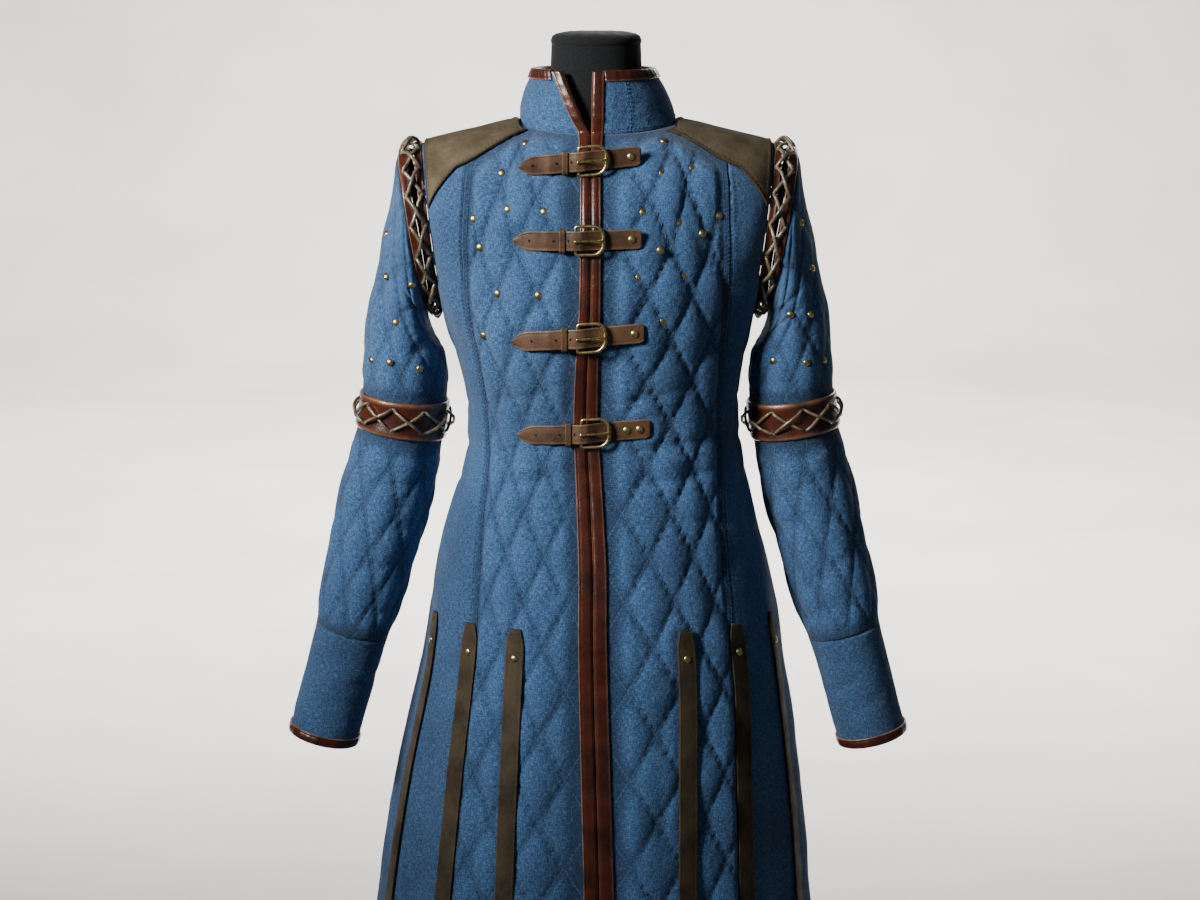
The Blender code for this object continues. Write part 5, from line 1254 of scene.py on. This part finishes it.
def makeKeeper(number, buckle, bedAt, over, middleAt):
    x, half, wide = buckle + strapSize["keeperAt"], strapSize["half"] + 0.4 * mm, strapSize["keeper"] / 2
    low = bedAt(x) + 0.2 * mm
    top = max(bedAt(x + e) + over(x + e) for e in (-4 * mm, 0, 4 * mm)) + strapSize["thick"] * 1.08 + 0.4 * mm
    thick = 1.7 * mm
    outline = [(-half - thick, low), (-half, low), (-half, top - 0.3 * mm), (-half + 0.6 * mm, top)]
    outline += [(half - 0.6 * mm, top), (half, top - 0.3 * mm), (half, low), (half + thick, low)]
    outline += [(half + thick, top), (half + 0.6 * mm, top + thick * 0.85), (half - 1 * mm, top + thick)]
    outline += [(-half + 1 * mm, top + thick), (-half - 0.6 * mm, top + thick * 0.85), (-half - thick, top)]
    rings, edgeWearAndPaintedLight = [], []
    for share in (-1, -0.93, -0.75, -0.5, 0, 0.5, 0.75, 0.93, 1):
        tuck = 0.35 * mm * (abs(share) > 0.95)
        rings.append([(x + wide * share, -(out - tuck * (out > top)), middleAt(x) + z) for z, out in outline])
        edgeWearAndPaintedLight.append([float(abs(share) > 0.8)] * len(outline))
    piece = ringSolid(f"leatherKeeper{number}", rings, strapLeather, edge=edgeWearAndPaintedLight)
    seat(piece, "strap_leather", f"keeper_{number}")


for number, strap in enumerate(fastenings, start=1):
    makeFastening(number, strap)
print("Straps and buckles made")


stripSize = {"count": 110, "half": 10.5 * mm, "thick": 2 * mm, "reach": 60 * mm, "rivet": 4.2 * mm,
             "rivetAt": 7, "blunt": 0.035, "looks": (-1.0, -0.6, -0.2, 0.2, 0.6, 1.0)}


def makeSkirtStrip(name, node, side, top, hem):
    count, half, reach = stripSize["count"], stripSize["half"], stripSize["reach"]
    k = np.linspace(0, 1, count)
    row, column = stripTopRow * (1 - k) + 0.02, top + (hem - top) * k
    point, normal = torsoPoint(side, column, row), torsoNormal(side, column, row)
    across = unit(torsoPoint(side, column + 0.1, row) - torsoPoint(side, column - 0.1, row))
    rises = []
    for p, n, a in zip(point, normal, across):
        found = 0.0
        for step in stripSize["looks"]:
            origin = p + a * half * step + n * reach
            hit, _, _, distance = tree.ray_cast(Vector(origin), Vector(-n))
            if hit is not None and distance < 2 * reach:
                found = max(found, reach - distance)
        rises.append(found)
    rises = np.array([max(rises[max(0, i - 5): i + 6]) for i in range(count)])
    rises = np.convolve(np.pad(rises, 5, "edge"), np.ones(11) / 11, "valid") + 0.4 * mm
    shape = np.where(k < stripSize["blunt"], 0.58 + 0.42 * k / stripSize["blunt"], 1.0)
    # The strip's rolled edges take the lighter edge colour, a painted highlight.
    rings = [[point[i] + across[i] * half * shape[i] * a + normal[i] * (rises[i] + b * stripSize["thick"])
              for a, b, _ in strapSection] for i in range(count)]
    seat(ringSolid(name, rings, skirtLeather, edge=strapSection[:, 2]), "olive_leather", node)
    i = stripSize["rivetAt"]
    rivetSpots.append((point[i] + normal[i] * (rises[i] + 2.1 * mm), normal[i], stripSize["rivet"]))


for part, (top, hem) in skirtStrips.items():
    for side, end in sides:
        label = part.title().replace("_", "") + end
        makeSkirtStrip(f"leatherSkirtStrip{label}", f"skirt_strip_{part}_{end.lower()}", side, top, hem)
print("Skirt strips made")


# The dress form: one smooth limbless body with flat plates at the arms and a round neck.
formShape = {"bottomRow": 9, "neck": ((1.452, 60, 50), (1.466, 51, 50), (1.519, 49, 49)),
             "cap": ((49, 1519.3), (49.6, 1521), (49.5, 1524), (48, 1527.5), (44, 1530), (34, 1532),
                     (10, 1533)),
             "base": ((186, 0), (189, 0.6), (190, 2), (190, 16), (189.4, 19), (187.6, 21.2), (185, 22),
                      (60, 22), (30, 22)),
             "centre": (-2 * mm, 3 * mm), "pole": 16, "around": 96, "sharp": math.radians(50)}


def formPoint(side, column, row):
    bound = 2.5 * mm * easing(column, 1.4)
    inset = bodyShape["wall"] + 0.5 * mm + bound + 9 * mm * easing(row - formShape["bottomRow"], 5)
    point = torsoPoint(side, column, row) - torsoNormal(side, column, row) * inset[..., None]
    level = np.stack((point[..., 0], point[..., 1], torsoPoint(side, column, row)[..., 2]), -1)
    return np.where((row <= formShape["bottomRow"])[..., None], level, point)


def makeForm():
    fine, points, faces = 4, [], []

    def addGrid(grid, keep=None):
        start = sum(len(p) for p in points)
        columns, rows = grid.shape[:2]
        faces.extend((cells(columns, rows, columns - 1, keep)[1] + start).tolist())
        points.append(grid.reshape(-1, 3))

    for side in (1, -1):
        column, row = np.meshgrid(np.linspace(0, midBack, midBack * fine + 1),
                                  np.linspace(formShape["bottomRow"], topRow, 13 * fine + 1), indexing="ij")
        grid = formPoint(side, column, row)
        middle = (column[1:, 1:] + column[:-1, 1:]) / 2
        keep = ~((middle > armFront) & (middle < armBack) & (row[1:, 1:] > underarmRow))
        addGrid(grid[::side], keep[::side])
        turn = np.linspace(0, 8, 8 * fine + 1)
        around = collarColumn(turn)
        rings = [formPoint(side, around, topRow + 0.0 * around)]
        for height, wide, deep in formShape["neck"]:
            angle = fromMiddle(around) / neckSide * np.pi / 2
            depth = np.where(around > armMiddle, deep, -deep)
            rings.append(place(side * wide * mm * np.sin(angle) + formShape["centre"][0],
                               formShape["centre"][1] + depth * mm * np.cos(angle), height))
        smooth = [rings[0]]
        for low, high in zip(rings, rings[1:]):
            smooth += [low + (high - low) * s for s in np.linspace(0, 1, 5)[1:]]
        addGrid(np.stack(smooth, 1)[::side])
        plate = [(armFront, r) for r in np.linspace(topRow, underarmRow, 4 * fine + 1)]
        plate += [(c, underarmRow) for c in np.linspace(armFront, armBack, 4 * fine + 1)[1:]]
        plate += [(armBack, r) for r in np.linspace(underarmRow, topRow, 4 * fine + 1)[1:]]
        loop = formPoint(side, *np.array(plate, float).T)
        inner = loop.mean(0)
        addGrid(np.stack([loop + (inner - loop) * s for s in (0, 0.4, 0.8, 1.0)], 1)[::-side])
        bottom = formPoint(side, column[:, :1], row[:, :1])
        hub = np.array((0.0, 0.0, float(bottom[:, 0, 2].mean())))
        addGrid(np.stack([bottom[:, 0] + (hub - bottom[:, 0]) * s for s in (1.0, 0.5, 0.0)], 1)[::side])
        tops = np.stack(smooth, 1)[:, -1]
        peak = tops.mean(0)
        peak[0] = formShape["centre"][0]
        addGrid(np.stack([tops, tops + (peak - tops) * 0.6, tops * 0 + peak], 1)[::side])
    mesh = bpy.data.meshes.new("jerseyForm")
    mesh.from_pydata(np.concatenate(points).tolist(), [], faces)
    work = bmesh.new()
    work.from_mesh(mesh)
    bmesh.ops.remove_doubles(work, verts=work.verts, dist=0.05 * mm)
    bmesh.ops.dissolve_degenerate(work, edges=work.edges, dist=0.01 * mm)
    bmesh.ops.recalc_face_normals(work, faces=work.faces)
    work.to_mesh(mesh)
    work.free()
    mesh.shade_smooth()
    mesh.set_sharp_from_angle(angle=formShape["sharp"])
    mesh.materials.append(blackJersey)
    seat(addObject("jerseyForm", mesh), "black_jersey", "form_torso")


# A solid turned about an upright axis from its (radius, height) profile in millimetres.
def turned(name, node, profile, finish, slot, centre=(0.0, 0.0), gathers=0.0):
    angle = np.linspace(0, 2 * np.pi, formShape["around"], endpoint=False)
    rings = []
    for radius, height in profile:
        drop = gathers * (1 - radius / 50) * np.cos(12 * angle) * (radius > 12)
        rings.append(place(centre[0] + radius * mm * np.cos(angle), centre[1] + radius * mm * np.sin(angle),
                           (height + drop) * mm))
    piece = ringSolid(name, rings, finish)
    piece.data.set_sharp_from_angle(angle=formShape["sharp"])
    return seat(piece, slot, node)


makeForm()
turned("jerseyNeckCap", "form_cap", formShape["cap"], blackJersey, "black_jersey", formShape["centre"], 1.2)
poleTop = float(torsoPoint(1, np.array(0.0), np.array(9.0))[2]) / mm - 0.3
turned("steelPole", "form_pole", [(formShape["pole"], height) for height in (22.3, 24, poleTop)],
       darkSteel, "dark_steel")
turned("steelBase", "form_base", formShape["base"], darkSteel, "dark_steel")
print("Dress form and stand made")


# Geometry Nodes: one small form at every point of a mesh, turned to its outward direction.
def instanceTree(name, build):
    tree = bpy.data.node_groups.new(name, "GeometryNodeTree")
    tree.interface.new_socket("Geometry", in_out="INPUT", socket_type="NodeSocketGeometry")
    tree.interface.new_socket("Finish", in_out="INPUT", socket_type="NodeSocketMaterial")
    for label, value in build["sizes"].items():
        tree.interface.new_socket(label, in_out="INPUT", socket_type="NodeSocketFloat").default_value = value
    tree.interface.new_socket("Geometry", in_out="OUTPUT", socket_type="NodeSocketGeometry")
    given = addNode(tree, "NodeGroupInput")
    formed = build["form"](tree, given)
    made = addNode(tree, "GeometryNodeRealizeInstances", links={"Geometry": formed})
    smooth = addNode(tree, "GeometryNodeSetShadeSmooth", links={"Geometry": made.outputs["Geometry"]})
    dressed = addNode(tree, "GeometryNodeSetMaterial",
                      links={"Geometry": smooth.outputs["Geometry"], "Material": given.outputs["Finish"]})
    addNode(tree, "NodeGroupOutput", links={"Geometry": dressed.outputs["Geometry"]})
    return tree


def domeForm(tree, given):
    ball = addNode(tree, "GeometryNodeMeshUVSphere", {"Segments": 18, "Rings": 10, "Radius": 1.0})
    squash = addNode(tree, "ShaderNodeCombineXYZ", {"X": 1.0, "Y": 1.0}, {"Z": given.outputs["Dome height"]})
    dome = addNode(tree, "GeometryNodeTransform", links={"Geometry": ball.outputs["Mesh"],
                                                         "Scale": squash.outputs["Vector"]})
    way = addNode(tree, "GeometryNodeInputNamedAttribute", {"Name": "outward"}, data_type="FLOAT_VECTOR")
    size = addNode(tree, "GeometryNodeInputNamedAttribute", {"Name": "size"}, data_type="FLOAT")
    turn = addNode(tree, "FunctionNodeAlignRotationToVector", links={"Vector": way.outputs["Attribute"]},
                   axis="Z")
    spread = addNode(tree, "ShaderNodeMath", links={0: size.outputs["Attribute"], 1: given.outputs["Size"]},
                     operation="MULTIPLY")
    each = addNode(tree, "GeometryNodeInstanceOnPoints", links={
        "Points": given.outputs["Geometry"], "Instance": dome.outputs["Geometry"],
        "Rotation": turn.outputs["Rotation"], "Scale": spread.outputs["Value"]})
    return each.outputs["Instances"]


def stitchForm(tree, given):
    ball = addNode(tree, "GeometryNodeMeshUVSphere", {"Segments": 5, "Rings": 3, "Radius": 0.5})
    shape = addNode(tree, "ShaderNodeCombineXYZ", links={
        "X": given.outputs["Length"], "Y": given.outputs["Thread"], "Z": given.outputs["Thread"]})
    bead = addNode(tree, "GeometryNodeTransform", links={"Geometry": ball.outputs["Mesh"],
                                                         "Scale": shape.outputs["Vector"]})
    spots = addNode(tree, "GeometryNodeCurveToPoints", links={
        "Curve": given.outputs["Geometry"], "Length": given.outputs["Pitch"]}, mode="LENGTH")
    turn = addNode(tree, "FunctionNodeAlignRotationToVector", links={"Vector": spots.outputs["Tangent"]},
                   axis="X")
    each = addNode(tree, "GeometryNodeInstanceOnPoints", links={
        "Points": spots.outputs["Points"], "Instance": bead.outputs["Geometry"],
        "Rotation": turn.outputs["Rotation"]})
    return each.outputs["Instances"]


# Runs a tree on an object, keeps the result as a plain mesh and clears the object away.
def instanced(name, source, tree, finish, sizes):
    modifier = source.modifiers.new("Form", "NODES")
    modifier.node_group = tree
    for item in tree.interface.items_tree:
        if item.in_out == "INPUT" and item.name == "Finish":
            modifier[item.identifier] = finish
        if item.in_out == "INPUT" and item.name in sizes:
            modifier[item.identifier] = sizes[item.name]
    graph = bpy.context.evaluated_depsgraph_get()
    mesh = bpy.data.meshes.new_from_object(source.evaluated_get(graph), depsgraph=graph)
    bpy.data.objects.remove(source)
    mesh.name = name
    if not mesh.materials:
        mesh.materials.append(finish)
    return addObject(name, mesh)


def domes(name, spots, height, finish, slot):
    mesh = bpy.data.meshes.new(name + "Spots")
    mesh.from_pydata([tuple(map(float, spot[0])) for spot in spots], [], [])
    mesh.attributes.new("outward", "FLOAT_VECTOR", "POINT").data.foreach_set(
        "vector", np.array([spot[1] for spot in spots], np.float32).ravel())
    mesh.attributes.new("size", "FLOAT", "POINT").data.foreach_set(
        "value", np.array([spot[2] for spot in spots], np.float32))
    source = addObject(name + "Spots", mesh)
    seat(instanced(name, source, domeTree, finish, {"Dome height": height, "Size": 1.0}), slot)


def stitches(name, runs, pitch, length, width, finish, slot):
    curve = bpy.data.curves.new(name + "Runs", "CURVE")
    curve.dimensions = "3D"
    for run in runs:
        line = curve.splines.new("POLY")
        line.points.add(len(run) - 1)
        line.points.foreach_set("co", np.concatenate((run, np.ones((len(run), 1))), 1).ravel())
    source = addObject(name + "Runs", curve)
    sizes = {"Pitch": pitch, "Length": length, "Thread": width}
    seat(instanced(name, source, stitchTree, finish, sizes), slot)


domeTree = instanceTree("domesOnPoints", {"form": domeForm, "sizes": {"Dome height": 0.5, "Size": 1.0}})
stitchTree = instanceTree("stitchesAlongRuns", {
    "form": stitchForm, "sizes": {"Pitch": 4.5 * mm, "Length": 3.4 * mm, "Thread": 0.9 * mm}})

# Studs by column and row on each front, and by the sixteenth round the arm and the ring on each sleeve.
studPlaces = {
    -1: ((2.75, 21.25), (4.2, 20.2), (5.4, 19.4), (3.6, 19.6), (1.75, 19.75), (5, 19), (4, 18), (2, 18),
         (5, 17), (3, 17)),
    1: ((2.6, 21.4), (2.5, 20.5), (4.3, 20.3), (1.75, 19.75), (3.4, 19.4), (5.45, 19.45), (2.5, 19.0),
        (4.6, 19.2), (1.6, 18.4), (3.6, 18.4), (2.6, 17.4)),
}
sleeveStuds = {
    -1: ((1.25, 4.75), (2.25, 5.6), (4.75, 4.0), (3.5, 6.5), (1.75, 7.75), (3.25, 7.65), (5.0, 7.65)),
    1: ((2.25, 4.0), (2.0, 5.5), (4.25, 5.9), (2.75, 6.5), (5.25, 7.4), (3.25, 7.65), (1.75, 7.75)),
}


# The studs' size and the height of their foot over the cloth, and how high each row of stitches lies.
studs = {"coat": (4.5 * mm, 1.2 * mm), "sleeve": (4.1 * mm, 1.0 * mm)}
stitchSize = {"seam": 0.25 * mm, "hem": 0.3 * mm, "collar": 0.3 * mm, "front": 0.7 * mm, "patch": 3.4 * mm,
              "seams": (5.9, 5.72, 14.12, 14.3, 6.12, 13.88), "inset": (0.12, 0.13)}


# The back and the outer side of each sleeve carry studs like those that show in front.
def addStuds():
    for side, _ in sides:
        size, foot = studs["coat"]
        for column, row in studPlaces[side]:
            for at in (column, midBack - column):
                point, normal = clothPoint(side, np.array([at] * 2), np.array([row] * 2), foot)
                studSpots.append((point[0], normal[0], size))
        size, foot = studs["sleeve"]
        for column, station in sleeveStuds[side]:
            for turn in (column, 16 - column):
                angle, level = np.array([turn * np.pi / 8] * 2), np.array([float(station)] * 2)
                rise, _ = sleeveRise(side, level, angle)
                radial = ringRadial(side, level, angle)
                point = ringPoint(side, level, angle) + radial * (rise[:, None] + foot)
                studSpots.append((point[0], radial[0], size))


def addSeam(side, near, row, sign):
    column, row = np.broadcast_arrays(near if sign > 0 else midBack - near, row)
    brownRuns.append(torsoPoint(side, column, row) + torsoNormal(side, column, row) * stitchSize["patch"])


def addStitches():
    seam = np.linspace(0.3, 21.3, 500)
    (first, last), (fromFirst, fromLast) = patchShape["columns"], stitchSize["inset"]
    for side, _ in sides:
        for column in stitchSize["seams"]:
            up = seam[seam < patchEdgeRow(fromMiddle(column)) - 0.12]
            stitchRuns.append(clothPoint(side, column + 0 * up, up, stitchSize["seam"])[0])
        for start, end in ((0.7, frontSeam), (frontSeam, backSeam), (backSeam, midBack)):
            column = np.linspace(start + 0.05, end - 0.05, 160)
            stitchRuns.append(clothPoint(side, column, 0.28 + 0 * column, stitchSize["hem"])[0])
        turn = np.linspace(0.7, 8, 200)
        share = 0.07 + 0 * turn
        lift = collarNormal(side, turn, share) * stitchSize["collar"]
        stitchRuns.append(collarPoint(side, turn, share) + lift)
        for span, sign in ((np.linspace(0.03, 0.97, 120), 1), (np.linspace(-0.97, -0.03, 120), -1)):
            for column in (first + fromFirst, last - fromLast):
                near = patchColumn(column, span)
                addSeam(side, near, patchRow(near, span, 0.93), sign)
            near = patchColumn(np.linspace(4.3, 7.75, 160), float(sign))
            addSeam(side, near, patchEdgeRow(near) + 0.11, sign)
    share = np.linspace(0.03, 0.86, 80)
    for turn in (1.12, 1.22):
        at = turn + 0.25 * share
        stitchRuns.append(collarPoint(1, at, share) + collarNormal(1, at, share) * stitchSize["front"])


addStuds()
addStitches()
domes("brassStuds", studSpots, 0.55, antiqueBrass, "antique_brass")
domes("brassRivets", rivetSpots, 0.5, antiqueBrass, "antique_brass")
# The strap holes are flat near-black domes on the strap: painted shade where each hole is.
domes("strapHoles", holeSpots, 0.12, holeShadowFinish, "strap_leather")
stitches("canvasStitches", stitchRuns, 4.6 * mm, 3.3 * mm, 0.85 * mm, cottonThread, "blue_canvas")
stitches("patchStitches", brownRuns, 4.6 * mm, 3.2 * mm, 0.8 * mm, brownThread, "olive_leather")
print("Studs, rivets and stitches made:", len(studSpots), "studs")


studio = {"world": (0.8, 0.86, 1.0, 1), "strength": 0.065, "reach": 30.0, "rise": 5.0, "back": 9.0,
          "bend": 2.0, "sensor": 36.0, "lens": 81.54, "shift": 0.00167, "camera": (0.0, -3.0, 1.65),
          "tilt": 79}
# Each lamp's place, aim, size, power, spread in degrees and tint.
# The key comes from the viewer's left and a little above; the right side falls into soft shade.
# The backdrop's own lamp has a narrow spread, so that none of it falls on the coat.
lamps = {"keyLight": ((-2.1, -1.7, 2.5), (-0.1, 0, 1.42), 0.8, 9.6, 43, (1.0, 0.95, 0.89)),
         "fillLight": ((1.6, -3.2, 1.7), (0, 0, 1.1), 2.0, 2, 180, (1, 1, 1)),
         "rearLight": ((1.8, 4.2, 2.8), (0, 0, 1.1), 1.8, 30, 180, (1, 1, 1)),
         "backdropLight": ((0.0, 1.0, 6.0), (0, 6.5, 0.0), 3.0, 800, 86, (1, 1, 1))}


def makeStudio():
    floorMade = makePlain("paleFloor", "floorDark", "floor", 900.0, 0.1, {"Roughness": 0.8})
    mesh = bpy.data.meshes.new("paleFloor")
    reach, back, bend = studio["reach"], studio["back"], studio["bend"]
    turned = [(back - bend + bend * math.sin(a), bend - bend * math.cos(a))
              for a in np.linspace(0, math.pi / 2, 17)]
    outline = [(-reach, 0.0), *turned, (back, studio["rise"])]
    points = [(x, y, z) for y, z in outline for x in (-reach, reach)]
    faces = [(2 * k, 2 * k + 1, 2 * k + 3, 2 * k + 2) for k in range(len(outline) - 1)]
    mesh.from_pydata(points, [], faces)
    mesh.shade_smooth()
    mesh.materials.append(floorMade)
    addObject("paleFloor", mesh)
    world = bpy.data.worlds.new("softRoom")
    world.use_nodes = True
    background = world.node_tree.nodes["Background"].inputs
    background["Color"].default_value = studio["world"]
    background["Strength"].default_value = studio["strength"]
    bpy.context.scene.world = world
    for name, (spot, aim, size, power, spread, tint) in lamps.items():
        data = bpy.data.lights.new(name, "AREA")
        data.size, data.energy, data.spread, data.color = size, power, math.radians(spread), tint
        lamp = addObject(name, data)
        lamp.location = spot
        lamp.rotation_euler = (Vector(aim) - Vector(spot)).to_track_quat("-Z", "Y").to_euler()
    lens = bpy.data.cameras.new("photoCamera")
    lens.sensor_width, lens.lens, lens.shift_x = studio["sensor"], studio["lens"], studio["shift"]
    camera = addObject("photoCamera", lens)
    camera.location = studio["camera"]
    camera.rotation_euler = (math.radians(studio["tilt"]), 0.0, 0.0)
    bpy.context.scene.camera = camera


makeStudio()
print("Floor, lights and camera made")
